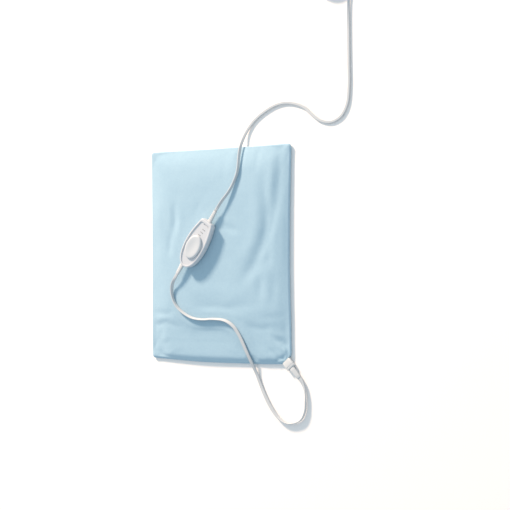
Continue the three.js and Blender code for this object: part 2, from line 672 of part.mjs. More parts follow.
function buildCase() {
  const outline = caseOutline();
  const hullRings = Array.from({ length: HULL_STEPS + 1 }, (_, i) => {
    const angle = (Math.PI / 2) * (i / HULL_STEPS);
    return caseRing(PARTING_HEIGHT * (1 - Math.cos(angle)), 0);
  });
  const topRings = [
    caseRing(CASE_HEIGHT - CASE_EDGE, 0),
    caseRing(CASE_HEIGHT - CASE_EDGE / 3, CASE_EDGE / 3),
    caseRing(CASE_HEIGHT, CASE_EDGE),
  ];
  const outside = stack(outline, [...hullRings, ...topRings], CASE_HEIGHT);
  const middle = (CASE_FLOOR + PARTING_HEIGHT) / 2;
  const insideHeights = [CASE_FLOOR, middle, PARTING_HEIGHT, ceiling];
  const inside = stack(outline, insideHeights.map((z) => caseRing(z, CASE_WALL)), ceiling);
  const shell = subtract(outside, inside);
  const reach = CASE_LENGTH;
  const above = boxBetween([-reach, -reach, PARTING_HEIGHT], [reach, reach, reach]);
  const below = boxBetween([-reach, -reach, -reach], [reach, reach, PARTING_HEIGHT + GAP]);
  const cordHoles = [
    atSupplyEnd(caseHole(SUPPLY_WIDTH, SUPPLY_THICKNESS).translate(COLLAR_LENGTH, 0, 0)),
    atLeadEnd(caseHole(LEAD_WIDTH, LEAD_THICKNESS).translate(COLLAR_LENGTH, 0, 0)),
  ];

  const screwTop = PARTING_HEIGHT + SCREW_BITE;
  const headTop = SCREW_HEAD_SINK + SCREW_HEAD_HEIGHT;
  const screwHoles = screwPlaces.flatMap(([x, y]) => [
    post(SCREW_HEAD_RADIUS + GAP, x, y, -OVERCUT, headTop + GAP),
    post(SCREW_RADIUS + GAP, x, y, -OVERCUT, screwTop + GAP),
  ]);
  const lowerPosts = screwPlaces.map(([x, y]) => post(POST_RADIUS, x, y, CASE_FLOOR / 2, PARTING_HEIGHT));
  const standoffX = boardHalf - 2 * STANDOFF_RADIUS;
  const standoffY = BOARD_WIDTH / 2 - 2 * STANDOFF_RADIUS;
  const standoffs = [[1, 1], [1, -1], [-1, 1], [-1, -1]].map(([sx, sy]) =>
    post(STANDOFF_RADIUS, BOARD_X + sx * standoffX, sy * standoffY, CASE_FLOOR / 2, BOARD_HEIGHT - GAP),
  );
  const lower = unite(subtract(shell, above), ...lowerPosts, ...standoffs);
  piece(control, "lower_case", subtract(lower, ...screwHoles, ...cordHoles), "whitePlastic");

  const roofMiddle = ceiling + CASE_ROOF / 2;
  const bosses = screwPlaces.map(([x, y]) => post(POST_RADIUS, x, y, PARTING_HEIGHT + GAP, roofMiddle));
  const pegs = [-1, 1].map((side) =>
    post(PEG_RADIUS, springPegX(side), springSeatY, carrierPlateZ, roofMiddle),
  );
  const recessEnd = caseEnd - RECESS_END_WALL;
  const recessArea = prism(insetOutline(outline, RECESS_RIM), recessFloor, CASE_HEIGHT + OVERCUT);
  const recess = subtract(recessArea, boxBetween([recessEnd, -reach, 0], [reach, reach, reach]));
  const slotHalf = STEM_LENGTH / 2 + SLIDE_CLEARANCE;
  const slotSide = STEM_WIDTH / 2 + SLIDE_CLEARANCE;
  const slot = boxBetween(
    [SLIDE_REST_X - slotHalf, -slotSide, ceiling - OVERCUT],
    [SLIDE_REST_X + slideTravel + slotHalf, slotSide, CASE_HEIGHT],
  );
  const upper = unite(subtract(shell, below), ...bosses, ...pegs);
  piece(control, "upper_case", subtract(upper, recess, slot, ...screwHoles, ...cordHoles), "whitePlastic");

  screwPlaces.forEach(([x, y], i) => {
    const head = post(SCREW_HEAD_RADIUS, x, y, SCREW_HEAD_SINK, headTop);
    const shank = post(SCREW_RADIUS, x, y, headTop - OVERCUT, screwTop);
    piece(control, `case_screw_${i + 1}`, unite(head, shank), "steel");
  });
}

// Detent: the leaf's V tip stands at the middle of the case and the carrier's notches pass it
const carrierEdgeY = CARRIER_PLATE_WIDTH / 2;
const springSeatY = carrierEdgeY + SPRING_STANDOFF;
const springPegX = (side) => side * (SPRING_HALF_SPAN + GAP + PEG_RADIUS);

function buildSlide() {
  const radius = SLIDE_LENGTH / 2;
  const base = recessFloor + GAP;
  const profile = [
    [0, 0],
    [radius, 0],
    [radius, SLIDE_SKIRT],
    [radius - SLIDE_SHOULDER / 3, SLIDE_RISE - SLIDE_SHOULDER_DROP],
    [radius - SLIDE_SHOULDER, SLIDE_RISE],
    [radius / 2, SLIDE_RISE - SLIDE_DISH / 2],
    [0, SLIDE_RISE - SLIDE_DISH],
  ];
  const dome = new THREE.LatheGeometry(profile.map(([r, z]) => new THREE.Vector2(r, z)), 2 * ROUND_SIDES);
  dome.rotateX(Math.PI / 2).scale(1, SLIDE_WIDTH / SLIDE_LENGTH, 1).translate(SLIDE_REST_X, 0, base);
  const stemX = STEM_LENGTH / 2;
  const stemY = STEM_WIDTH / 2;
  const stem = boxBetween(
    [SLIDE_REST_X - stemX, -stemY, carrierPlateZ],
    [SLIDE_REST_X + stemX, stemY, base + SLIDE_SKIRT],
  );
  piece(control, "thumb_slide", unite(dome, stem), "whitePlastic");

  const plateX = CARRIER_PLATE_LENGTH / 2;
  const plate = boxBetween(
    [SLIDE_REST_X - plateX, -carrierEdgeY, carrierPlateZ],
    [SLIDE_REST_X + plateX, carrierEdgeY, carrierPlateTop],
  );
  const stemHole = boxBetween(
    [SLIDE_REST_X - stemX - GAP, -stemY - GAP, carrierPlateZ - OVERCUT],
    [SLIDE_REST_X + stemX + GAP, stemY + GAP, carrierPlateTop + OVERCUT],
  );
  const notches = Array.from({ length: DETENT_STEPS + 1 }, (_, i) => {
    const x = -i * DETENT_PITCH;
    const corners = [[x + NOTCH_HALF, carrierEdgeY + OVERCUT], [x - NOTCH_HALF, carrierEdgeY + OVERCUT]];
    corners.push([x, carrierEdgeY - NOTCH_DEPTH]);
    const points = corners.map(([px, py]) => new THREE.Vector2(px, py));
    return prism(points, carrierPlateZ - OVERCUT, carrierPlateTop + OVERCUT);
  });
  piece(control, "slide_carrier", subtract(plate, stemHole, ...notches), "innerPlastic");

  const sheetTop = carrierPlateZ - GAP;
  const sheetX = WIPER_LENGTH / 2;
  const sheetY = WIPER_WIDTH / 2;
  const sheet = boxBetween(
    [SLIDE_REST_X - sheetX, -sheetY, sheetTop - WIPER_SHEET],
    [SLIDE_REST_X + sheetX, sheetY, sheetTop],
  );
  const arms = [-sheetY, sheetY - WIPER_ARM].map((y) =>
    boxBetween(
      [SLIDE_REST_X - sheetX, y, contactTop + GAP],
      [SLIDE_REST_X + sheetX, y + WIPER_ARM, sheetTop - WIPER_SHEET / 2],
    ),
  );
  piece(control, "contact_wiper", unite(sheet, ...arms), "copper");

  const tipY = carrierEdgeY - NOTCH_DEPTH + SPRING_TIP_CLEARANCE;
  const shoulder = NOTCH_HALF / 2;
  const below = [[-SPRING_HALF_SPAN, springSeatY], [-shoulder, carrierEdgeY + SPRING_SHEET], [0, tipY]];
  const nearSide = [...below, ...below.slice(0, -1).reverse().map(([x, y]) => [-x, y])];
  const farSide = nearSide.map(([x, y]) => [x, y + SPRING_SHEET]).reverse();
  const leaf = [...nearSide, ...farSide].map(([x, y]) => new THREE.Vector2(x, y));
  const leafZ = (carrierPlateZ + carrierPlateTop - SPRING_HEIGHT) / 2;
  piece(control, "detent_spring", prism(leaf, leafZ, leafZ + SPRING_HEIGHT), "steel");
}

function buildBoard() {
  const halfWidth = BOARD_WIDTH / 2;
  const board = boxBetween(
    [BOARD_X - boardHalf, -halfWidth, BOARD_HEIGHT],
    [BOARD_X + boardHalf, halfWidth, boardTop],
  );
  piece(control, "circuit_board", board, "board");
  const trackY = (WIPER_WIDTH - WIPER_ARM) / 2;
  const strip = (fromX, toX, y) =>
    boxBetween([fromX, y - 0.75 * WIPER_ARM, contactZ], [toX, y + 0.75 * WIPER_ARM, contactTop]);
  const padHalf = CONTACT_PAD_LENGTH / 2;
  const commonEnd = SLIDE_REST_X + slideTravel + padHalf;
  piece(control, "contact_common", strip(SLIDE_REST_X - padHalf, commonEnd, -trackY), "copper");
  ["low", "medium", "high"].forEach((name, i) => {
    const x = SLIDE_REST_X + (i + 1) * DETENT_PITCH;
    piece(control, `contact_${name}`, strip(x - padHalf, x + padHalf, trackY), "copper");
  });

  const rod = (radius, length) =>
    turned([[0, 0], [0, radius], [length, radius], [length, 0]], ROUND_SIDES / 2);
  const diode = rod(DIODE_RADIUS, DIODE_LENGTH).rotateZ(Math.PI / 2);
  diode.translate(BOARD_X + boardHalf - DIODE_SETBACK, -DIODE_LENGTH / 2, boardTop + GAP + DIODE_RADIUS);
  piece(control, "rectifier_diode", diode, "black");
  const fuse = rod(FUSE_RADIUS, FUSE_LENGTH);
  fuse.translate(BOARD_X + FUSE_LENGTH, -halfWidth + 2 * FUSE_RADIUS, boardTop + GAP + FUSE_RADIUS);
  piece(control, "thermal_fuse", fuse, "steel");
}

function buildCordEnds() {
  const supplyRelief = caseRelief(SUPPLY_WIDTH, SUPPLY_THICKNESS, supplyNeck);
  piece(control, "supply_strain_relief", atSupplyEnd(supplyRelief), "cordPlastic");
  const leadRelief = caseRelief(LEAD_WIDTH, LEAD_THICKNESS, LEAD_NECK);
  piece(control, "lead_strain_relief", atLeadEnd(leadRelief), "cordPlastic");

  const core = roundSection(CORE_DIAMETER, 6);
  const padZ = boardTop + GAP + CORE_DIAMETER / 2;
  const coreTube = (points) => tube(core, chainFrames(points.map((point) => new THREE.Vector3(...point))));
  [-0.5, 0.5].forEach((place, i) => {
    const y = place * CORE_PITCH;
    const route = [
      [supplyCollarX - GAP, y, cordAxisZ],
      [supplyCollarX - CORE_STRAIGHT, y, cordAxisZ],
      [BOARD_X + boardHalf + CORE_DROP_RUN, y, (cordAxisZ + padZ) / 2],
      [BOARD_X + boardHalf - CORE_LANDING, 2 * y, padZ],
    ];
    piece(control, `supply_wire_${i + 1}`, coreTube(route), "tailWire");
  });
  [-1, 0, 1].forEach((place, i) => {
    const offset = place * CORE_PITCH;
    const route = [
      [leadCollarX + GAP, LEAD_EXIT_Y + offset, cordAxisZ],
      [leadCollarX + CORE_STRAIGHT, LEAD_EXIT_Y + offset, cordAxisZ],
      [BOARD_X - boardHalf - CORE_DROP_RUN, 0.6 * LEAD_EXIT_Y + 1.3 * offset, (cordAxisZ + padZ) / 2],
      [BOARD_X - boardHalf + CORE_LANDING, 0.3 * LEAD_EXIT_Y + 1.8 * offset, padZ],
    ];
    piece(control, `lead_wire_${i + 1}`, coreTube(route), "tailWire");
  });

  const clampZ = cordAxisZ + CORE_DIAMETER / 2 + GAP;
  const clampBar = (x, y, coreCount) => {
    const half = ((coreCount - 1) * CORE_PITCH + CORE_DIAMETER) / 2 + CLAMP_MARGIN;
    return boxBetween([x, y - half, clampZ], [x + CLAMP_LENGTH, y + half, clampZ + CLAMP_HEIGHT]);
  };
  const supplyClampX = supplyCollarX - CLAMP_SETBACK - CLAMP_LENGTH;
  piece(control, "supply_cord_clamp", clampBar(supplyClampX, 0, 2), "innerPlastic");
  piece(control, "lead_cord_clamp", clampBar(leadCollarX + CLAMP_SETBACK, LEAD_EXIT_Y, 3), "innerPlastic");
}

// A point of the control's own frame in the part's frame
function controlPoint(x, y, z) {
  control.updateMatrix();
  return new THREE.Vector3(x, y, z).applyMatrix4(control.matrix).toArray();
}

// Splits a cord's frames into two stretches that meet face to face
function splitFrames(frames, index) {
  const { point, tangent, roll } = frames[index];
  const start = { point: point.clone().addScaledVector(tangent, GAP), tangent, roll };
  return [frames.slice(0, index + 1), [start, ...frames.slice(index + 1)]];
}

// Pad lead: from the corner block round the loop on the table and over the pad to the control's tail
function buildLead() {
  const reliefZ = lowerBattingZ + BLOCK_TONGUE_HEIGHT / 2;
  const start = 3 * GAP + BLOCK_LENGTH + RELIEF_LENGTH;
  const endX = leadCollarX - COLLAR_LENGTH - LEAD_NECK - RELIEF_LENGTH - GAP;
  const route = [
    [...blockPoint(start, 0, reliefZ).toArray(), 0],
    [...blockPoint(start + LEAD_WIDTH, 0, reliefZ - CORD_FIRST_DIP).toArray(), 0],
    [175.8, -226.5, 3.3, 25],
    [178.8, -239, 3.4, 55],
    [179.6, -254, 3.5, 80],
    [178, -270, 3.5, 85],
    [170.5, -284, 3.5, 85],
    [157.5, -290.8, 3.5, 85],
    [141, -291.8, 3.5, 80],
    [126.5, -285, 3.5, 65],
    [112, -270.6, 3.2, 40],
    [98.2, -250.8, 2.3, 12],
    [86.8, -228.7, 1.9, 0],
    [79.5, -210, 3.3, 0],
    [74.8, -197.5, 6.8, 0],
    [70.6, -186, 10.1, 0],
    [66.2, -175.5, 12.6, 0],
    [61.2, -164.3, 14.4, 0],
    [49.7, -141.7, 16.2, 0],
    [37.5, -126.2, 16.8, 0],
    [20.4, -116.9, 16.8, 0],
    [-5.7, -114.8, 16.8, 0],
    [-27.7, -116.1, 16.8, 0],
    [-50, -113.9, 16.8, 0],
    [-70.2, -105.3, 16.8, 0],
    [-86, -92.9, 16.8, 0],
    [-94.5, -78, 17, 0],
    [-96.6, -64, 17.8, 0],
    [-92.5, -51, 20.2, 0],
    [...controlPoint(endX - LEAD_WIDTH, LEAD_EXIT_Y, cordAxisZ - CORD_FIRST_DIP), 0],
    [...controlPoint(endX, LEAD_EXIT_Y, cordAxisZ), 0],
  ];
  const frames = curveFrames(route, CORD_STEP);
  const edge = frames.findIndex(({ point }, i) => i > frames.length / 4 && point.y > -PAD_LENGTH / 2);
  const [loop, onPad] = splitFrames(frames, edge);
  const section = flatSection(LEAD_WIDTH, LEAD_THICKNESS);
  piece(part, "lead_loop", tube(section, loop), "cordPlastic");
  piece(part, "lead_on_pad", tube(section, onPad), "cordPlastic");
}

// Coil: a flat cord on edge that spirals in on the lower layer and out again on the upper one
const coilAxisZ = TIE_WALL + GAP + SUPPLY_WIDTH / 2;
const coilLayer = SUPPLY_WIDTH + COIL_LAYER_GAP;

function coilFrames() {
  const middle = COIL_TURNS / 2;
  const climbTurns = COIL_CLIMB_TURNS / 2;
  const place = (turn) => {
    const radius = COIL_RADIUS - COIL_PITCH * (middle - Math.abs(turn - middle));
    const climb = THREE.MathUtils.smoothstep(turn, middle - climbTurns, middle + climbTurns);
    const angle = 2 * Math.PI * turn;
    const x = COIL_X + radius * Math.cos(angle);
    const y = COIL_Y + radius * Math.sin(angle);
    return new THREE.Vector3(x, y, coilAxisZ + coilLayer * climb);
  };
  const count = Math.round(COIL_TURNS * COIL_STEPS_PER_TURN);
  const frames = Array.from({ length: count + 1 }, (_, i) => {
    const turn = (COIL_TURNS * i) / count;
    const nearby = 1 / COIL_STEPS_PER_TURN / 4;
    const tangent = place(turn + nearby).sub(place(turn - nearby)).normalize();
    return { point: place(turn), tangent, roll: 90 };
  });
  const straight = (frame, way) => {
    const tangent = frame.tangent.clone().setZ(0).normalize();
    return { ...frame, tangent, point: frame.point.clone().addScaledVector(tangent, way * SUPPLY_WIDTH) };
  };
  return [straight(frames[0], -1), ...frames, straight(frames[count], 1)];
}

// Least distance between corners of the tube's rings that lie over half a turn apart along it
function leastGap(section, frames) {
  const { normals, binormals } = new TubePath(frames).computeFrenetFrames();
  const outline = section.getPoints();
  const rings = frames.map(({ point }, i) =>
    outline.map(({ x, y }) => point.clone().addScaledVector(normals[i], x).addScaledVector(binormals[i], y)),
  );
  let least = Infinity;
  rings.forEach((ring, i) => {
    for (const other of rings.slice(i + COIL_STEPS_PER_TURN / 2)) {
      ring.forEach((a) => other.forEach((b) => (least = Math.min(least, a.distanceTo(b)))));
    }
  });
  return least;
}

// Supply cord: from the control over the pad's top edge, along the table to its coil, and on to the plug
function buildSupply() {
  const startX = supplyCollarX + COLLAR_LENGTH + supplyNeck + RELIEF_LENGTH + GAP;
  const coil = coilFrames();
  const entry = coil[0];
  const route = [
    [...controlPoint(startX, 0, cordAxisZ), 0],
    [...controlPoint(startX + SUPPLY_WIDTH, 0, cordAxisZ - CORD_FIRST_DIP), 15],
    [19.5, 95.5, 21.8, 45],
    [30, 108, 20.4, 65],
    [38, 120.2, 19.4, 70],
    [44, 132.3, 18.6, 70],
    [48, 142.7, 18, 70],
    [49.8, 155, 17.2, 70],
    [49.9, 166, 16, 65],
    [50.1, 178, 14.2, 55],
    [50.8, 189.5, 11.8, 40],
    [52.8, 200, 7.8, 25],
    [58.5, 213.5, 4, 10],
    [68.2, 227.1, 2.2, 0],
    [80.6, 238.6, 1.9, 0],
    [101.7, 251.2, 1.9, 0],
    [122.5, 259.2, 1.9, 0],
    [143, 261.2, 1.9, 0],
    [163.3, 257.1, 1.9, 0],
    [179.4, 250, 1.9, 0],
    [193.3, 237.9, 1.9, 0],
    [211, 226, 1.9, 0],
    [232, 222.5, 1.9, 0],
    [251, 231, 1.9, 0],
    [262.5, 249.8, 1.9, 0],
    [266.5, 279.6, 1.9, 0],
    [266.4, 323, 1.9, 0],
    [266, 373.6, 1.9, 0],
    [266.8, 420, 2.6, 30],
    [268.2, 448, 3.6, 75],
    [...entry.point.clone().addScaledVector(entry.tangent, -2 * SUPPLY_WIDTH).toArray(), 90],
    [...entry.point.clone().addScaledVector(entry.tangent, -GAP).toArray(), 90],
  ];
  const frames = curveFrames(route, CORD_STEP);
  const edge = frames.findIndex(({ point }) => point.y > PAD_LENGTH / 2);
  const [onPad, onFloor] = splitFrames(frames, edge);
  const section = flatSection(SUPPLY_WIDTH, SUPPLY_THICKNESS);
  piece(part, "supply_on_pad", tube(section, onPad), "cordPlastic");
  piece(part, "supply_on_floor", tube(section, onFloor), "cordPlastic");

  const wound = coilSection(SUPPLY_WIDTH, SUPPLY_THICKNESS);
  piece(part, "supply_coil", tube(wound, coil), "cordPlastic");
  console.log(`supply_coil: least gap to itself ${leastGap(wound, coil).toFixed(2)} mm`);
  buildTie();
  buildPlug(coil.at(-1), section);
}

function buildTie() {
  const inner = COIL_RADIUS - (COIL_PITCH * COIL_TURNS) / 2 - SUPPLY_THICKNESS / 2 - TIE_SLACK;
  const outer = COIL_RADIUS + SUPPLY_THICKNESS / 2 + TIE_SLACK;
  const top = coilAxisZ + coilLayer + SUPPLY_WIDTH / 2 + GAP;
  const half = TIE_WIDTH / 2;
  const band = boxBetween([inner - TIE_WALL, -half, 0], [outer + TIE_WALL, half, top + TIE_WALL]);
  const hole = boxBetween([inner, -half - OVERCUT, TIE_WALL], [outer, half + OVERCUT, top]);
  const tie = subtract(band, hole).rotateZ(THREE.MathUtils.degToRad(TIE_ANGLE));
  piece(part, "coil_tie", tie.translate(COIL_X, COIL_Y, 0), "black");
}

// Tail of the cord from the coil's end and the plug that it runs straight into
function buildPlug(coilEnd, section) {
  const ahead = (distance, z) =>
    coilEnd.point.clone().addScaledVector(coilEnd.tangent, distance).setZ(z).toArray();
  const plugZ = PLUG_HEIGHT / 2;
  const endZ = coilEnd.point.z;
  const tailRoute = [
    [...ahead(GAP, endZ), 90],
    [...ahead(GAP + SUPPLY_WIDTH, endZ), 90],
    [...ahead(TAIL_LENGTH / 2, (endZ + plugZ) / 2), 45],
    [...ahead(TAIL_LENGTH - SUPPLY_WIDTH, plugZ), 0],
    [...ahead(TAIL_LENGTH, plugZ), 0],
  ];
  piece(part, "supply_tail", tube(section, curveFrames(tailRoute, CORD_STEP / 3)), "cordPlastic");

  const plug = new THREE.Group();
  plug.position.set(...ahead(TAIL_LENGTH + GAP + RELIEF_LENGTH + GAP, 0));
  plug.rotation.z = Math.atan2(coilEnd.tangent.y, coilEnd.tangent.x);
  part.add(plug);
  const relief = sleeve(SUPPLY_WIDTH, SUPPLY_THICKNESS).rotateZ(Math.PI).translate(-GAP, 0, plugZ);
  piece(plug, "plug_strain_relief", relief, "cordPlastic");

  const neck = PLUG_NECK_WIDTH / 2;
  const wide = PLUG_WIDTH / 2;
  const shoulder = PLUG_LENGTH / 2;
  const corners = [[0, -neck], [shoulder, -wide], [PLUG_LENGTH, -wide], [PLUG_LENGTH, wide]];
  corners.push([shoulder, wide], [0, neck]);
  const outline = corners.map(([x, y]) => new THREE.Vector2(x, y));
  const blade = (side, width, margin) => {
    const y = (side * BLADE_SPACING) / 2;
    const halfThickness = BLADE_THICKNESS / 2 + margin;
    const low = [PLUG_LENGTH - BLADE_ROOT - margin, y - halfThickness, plugZ - width / 2 - margin];
    return boxBetween(low, [PLUG_LENGTH + BLADE_LENGTH, y + halfThickness, plugZ + width / 2 + margin]);
  };
  const slots = [blade(1, BLADE_WIDE, GAP), blade(-1, BLADE_NARROW, GAP)];
  const body = prism(outline, 0, PLUG_HEIGHT, PLUG_EDGE);
  piece(plug, "plug_body", subtract(body, ...slots), "cordPlastic");
  piece(plug, "plug_blade_wide", blade(1, BLADE_WIDE, 0), "brass");
  piece(plug, "plug_blade_narrow", blade(-1, BLADE_NARROW, 0), "brass");
}

buildLayers();
buildElement();
buildCornerBlock();
buildCase();
buildSlide();
buildBoard();
buildCordEnds();
buildLead();
buildSupply();

export default part;
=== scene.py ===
"""Dresses a heating pad with a slide control: cloth cover, control case, flat cords, coil, plug and stage.

Every piece is built in millimetres in its own frame and then placed, in metres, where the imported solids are.
"""
import json
import logging
import math
from dataclasses import dataclass, field
from enum import Enum
from functools import cache
from typing import Callable, Sequence

import bmesh
import bpy
import numpy as np
from mathutils import Matrix, Vector, noise

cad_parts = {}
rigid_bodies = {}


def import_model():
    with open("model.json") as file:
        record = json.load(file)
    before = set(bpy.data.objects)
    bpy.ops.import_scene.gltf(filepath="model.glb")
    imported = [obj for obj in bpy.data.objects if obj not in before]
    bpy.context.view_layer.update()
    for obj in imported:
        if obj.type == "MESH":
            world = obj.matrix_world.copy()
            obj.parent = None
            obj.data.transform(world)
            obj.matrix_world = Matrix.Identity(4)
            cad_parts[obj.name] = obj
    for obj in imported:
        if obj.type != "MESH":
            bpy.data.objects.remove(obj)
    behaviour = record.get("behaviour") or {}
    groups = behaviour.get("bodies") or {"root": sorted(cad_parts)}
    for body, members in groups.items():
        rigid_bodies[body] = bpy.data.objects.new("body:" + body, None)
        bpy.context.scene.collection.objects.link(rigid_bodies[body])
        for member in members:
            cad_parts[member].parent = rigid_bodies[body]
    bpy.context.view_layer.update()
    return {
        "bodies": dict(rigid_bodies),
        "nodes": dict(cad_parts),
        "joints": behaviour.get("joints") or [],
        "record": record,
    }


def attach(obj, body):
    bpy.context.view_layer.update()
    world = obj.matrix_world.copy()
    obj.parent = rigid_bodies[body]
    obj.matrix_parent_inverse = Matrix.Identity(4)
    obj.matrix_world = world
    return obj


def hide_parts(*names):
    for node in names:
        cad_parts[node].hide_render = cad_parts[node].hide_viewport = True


LOG = logging.getLogger("heating_pad")
MM = 0.001
TO_METRES = Matrix.Scale(MM, 4)
TO_MILLIMETRES = Matrix.Scale(1 / MM, 4)
FULL_TURN = 2 * math.pi
QUARTER_TURN = math.pi / 2
TINY = 1e-6
ROD_SIDES = 32
FIXED_BODY = "pad_and_control"
SLIDE_BODY = "slide"

Array = np.ndarray
Piece = bpy.types.Object
Point = tuple[float, float, float]
PlanPoint = tuple[float, float]
RoutePoint = tuple[float, float, float, float]
Colour = tuple[float, float, float]


def placed(x: float, y: float, z: float, turn: float) -> Matrix:
    """Gives the placement of a sub-assembly's own millimetre frame in the part's metre frame.

    Args:
        x: Place along the pad's width, in millimetres.
        y: Place along the pad's length, in millimetres.
        z: Height above the floor, in millimetres.
        turn: Turn about the vertical, in degrees.

    Returns:
        The matrix that takes millimetres of the sub-assembly to metres of the part.
    """
    return TO_METRES @ Matrix.Translation((x, y, z)) @ Matrix.Rotation(math.radians(turn), 4, "Z")


CORNER_FRAME = placed(141.1, -183.9, 0, -48)
CONTROL_FRAME = placed(-35, 19, 15.2, 55)
CORD_AXIS_Z = 7.15
CORNER_CORD_Z = 3.9
CORD_DIP = 0.2


def own_plan(frame: Matrix, x: Array, y: Array) -> tuple[Array, Array]:
    """Turns places of the part into places along and across a sub-assembly, all in millimetres."""
    back = frame.inverted() @ TO_METRES
    return tuple(back[k][0] * x + back[k][1] * y + back[k][3] for k in range(2))


def moved(points: Array, matrix: Matrix) -> Array:
    """Moves rows of points by a matrix."""
    whole = np.array(matrix)
    return points @ whole[:3, :3].T + whole[:3, 3]


def ramp(value: Array, start: float, run: float) -> Array:
    """Gives 0 up to the start and 1 from a run further on, with an even rise between."""
    return np.clip((value - start) / run, 0, 1)


def eased(share: "float | Array") -> "float | Array":
    """Softens both ends of a rise from 0 to 1."""
    return share * share * (3 - 2 * share)


def linear(red: int, green: int, blue: int) -> Colour:
    """Turns a display colour of 0 to 255, above its darkest tones, into scene-linear values."""
    return tuple(((tone / 255 + 0.055) / 1.055) ** 2.4 for tone in (red, green, blue))


class Signal:
    """A node's output that takes part in Python expressions on numbers."""

    def __init__(self, board: "NodeBoard", socket: "bpy.types.NodeSocket | None") -> None:
        """Keeps the socket and the board that it stands on."""
        self.board = board
        self.socket = socket

    def _math(self, operation: str, first: "Signal | float", second: "Signal | float") -> "Signal":
        """Adds one Math node."""
        return self.board.node("ShaderNodeMath", {"operation": operation}, {0: first, 1: second})

    def __add__(self, other: "Signal | float") -> "Signal":
        """Adds."""
        return self._math("ADD", self, other)

    __radd__ = __add__

    def __sub__(self, other: "Signal | float") -> "Signal":
        """Subtracts."""
        return self._math("SUBTRACT", self, other)

    def __rsub__(self, other: "Signal | float") -> "Signal":
        """Subtracts from a number."""
        return self._math("SUBTRACT", other, self)

    def __mul__(self, other: "Signal | float") -> "Signal":
        """Multiplies."""
        return self._math("MULTIPLY", self, other)

    __rmul__ = __mul__

    def wave(self, pitch: float) -> "Signal":
        """Gives a smooth wave from 0 to 1 with one crest per pitch."""
        return self._math("SINE", self * (FULL_TURN / pitch), 0.0) * 0.5 + 0.5

    def distance(self, other: float) -> "Signal":
        """Gives how far the value is from a number."""
        return self._math("ABSOLUTE", self - other, 0.0)

    def around(self, middle: float, spread: float) -> "Signal":
        """Turns a value from 0 to 1 into one that varies evenly to both sides of a number."""
        return self * spread + (middle - spread / 2)

    def below(self, limit: float, soft: float) -> "Signal":
        """Gives 1 under the limit and 0 above it, with a soft step of the given width between."""
        ends = {"From Min": limit - soft / 2, "From Max": limit + soft / 2, "To Min": 1.0, "To Max": 0.0}
        return self.board.node(
            "ShaderNodeMapRange", {"interpolation_type": "SMOOTHSTEP"}, {"Value": self, **ends}
        )


Value = Signal | float | Colour


class Detail(Enum):
    """How many finer layers a noise has."""

    SOFT = 2.0
    MIXED = 3.0
    FINE = 4.0
    FIBROUS = 5.0


class NodeBoard:
    """The node tree of one material, with a Principled shader at its end."""

    MIX_SHARE, MIX_FIRST, MIX_SECOND, MIX_RESULT = 0, 6, 7, 2

    def __init__(self, name: str) -> None:
        """Makes an empty material.

        Args:
            name: The material's name.
        """
        self.material = bpy.data.materials.new(name)
        self.material.use_nodes = True
        self.tree = self.material.node_tree
        self.tree.nodes.clear()
        self.coordinates = self.node("ShaderNodeTexCoord", {}, {}, "Object")

    def node(self, kind: str, settings: dict, sockets: dict, output: int | str = 0) -> Signal:
        """Adds a node.

        Args:
            kind: Blender's name of the node type.
            settings: Values of the node's own settings, which are set first.
            sockets: Values or signals of the input sockets, by name or number.
            output: Name or number of the output to use.

        Returns:
            The chosen output, or one without a socket where the node has none.
        """
        made = self.tree.nodes.new(kind)
        for key, value in settings.items():
            setattr(made, key, value)
        for key, value in sockets.items():
            if isinstance(value, Signal):
                self.tree.links.new(value.socket, made.inputs[key])
            else:
                made.inputs[key].default_value = value
        return Signal(self, made.outputs[output] if made.outputs else None)

    def axis(self, name: str) -> Signal:
        """Gives one of the object's coordinates, in millimetres."""
        return self.node("ShaderNodeSeparateXYZ", {}, {0: self.coordinates}, name) * (1 / MM)

    def mottle(self, size: float, detail: Detail, stretch: Point = (1.0, 1.0, 1.0)) -> Signal:
        """Gives smooth noise from 0 to 1.

        Args:
            size: Width of one patch in millimetres.
            detail: How fine the noise is.
            stretch: Scale of the pattern along each axis.

        Returns:
            The noise.
        """
        place = self.node("ShaderNodeMapping", {}, {"Vector": self.coordinates, "Scale": stretch})
        sockets = {"Vector": place, "Scale": 1 / (size * MM), "Detail": detail.value}
        return self.node("ShaderNodeTexNoise", {}, sockets)

    @staticmethod
    def total(signals: Sequence[Signal], shares: Sequence[float]) -> Signal:
        """Adds up signals by their shares."""
        first, *rest = (signal * share for signal, share in zip(signals, shares))
        return sum(rest, first)

    @staticmethod
    def _opaque(value: Value) -> "Signal | float | tuple[float, ...]":
        """Adds the alpha to a colour and leaves any other value as it is."""
        return (*value, 1.0) if isinstance(value, tuple) else value

    def blend(self, share: Signal, first: Value, second: Value) -> Signal:
        """Mixes two colours: 0 gives the first and 1 the second."""
        sockets = {
            self.MIX_SHARE: share, self.MIX_FIRST: self._opaque(first), self.MIX_SECOND: self._opaque(second),
        }
        return self.node("ShaderNodeMix", {"data_type": "RGBA"}, sockets, self.MIX_RESULT)

    def relief(self, height: Signal, depth: float, strength: float) -> Signal:
        """Turns a height from 0 to 1 into a bumped normal, with the depth in millimetres."""
        sockets = {"Height": height, "Distance": depth * MM, "Strength": strength}
        return self.node("ShaderNodeBump", {}, sockets)

    def surface(self, sockets: dict[str, Value]) -> bpy.types.Material:
        """Ends the tree in a Principled shader.

        Args:
            sockets: Values or signals of the shader's sockets.

        Returns:
            The finished material.
        """
        ready = {key: self._opaque(value) for key, value in sockets.items()}
        shader = self.node("ShaderNodeBsdfPrincipled", {}, ready)
        self.node("ShaderNodeOutputMaterial", {}, {"Surface": shader})
        return self.material


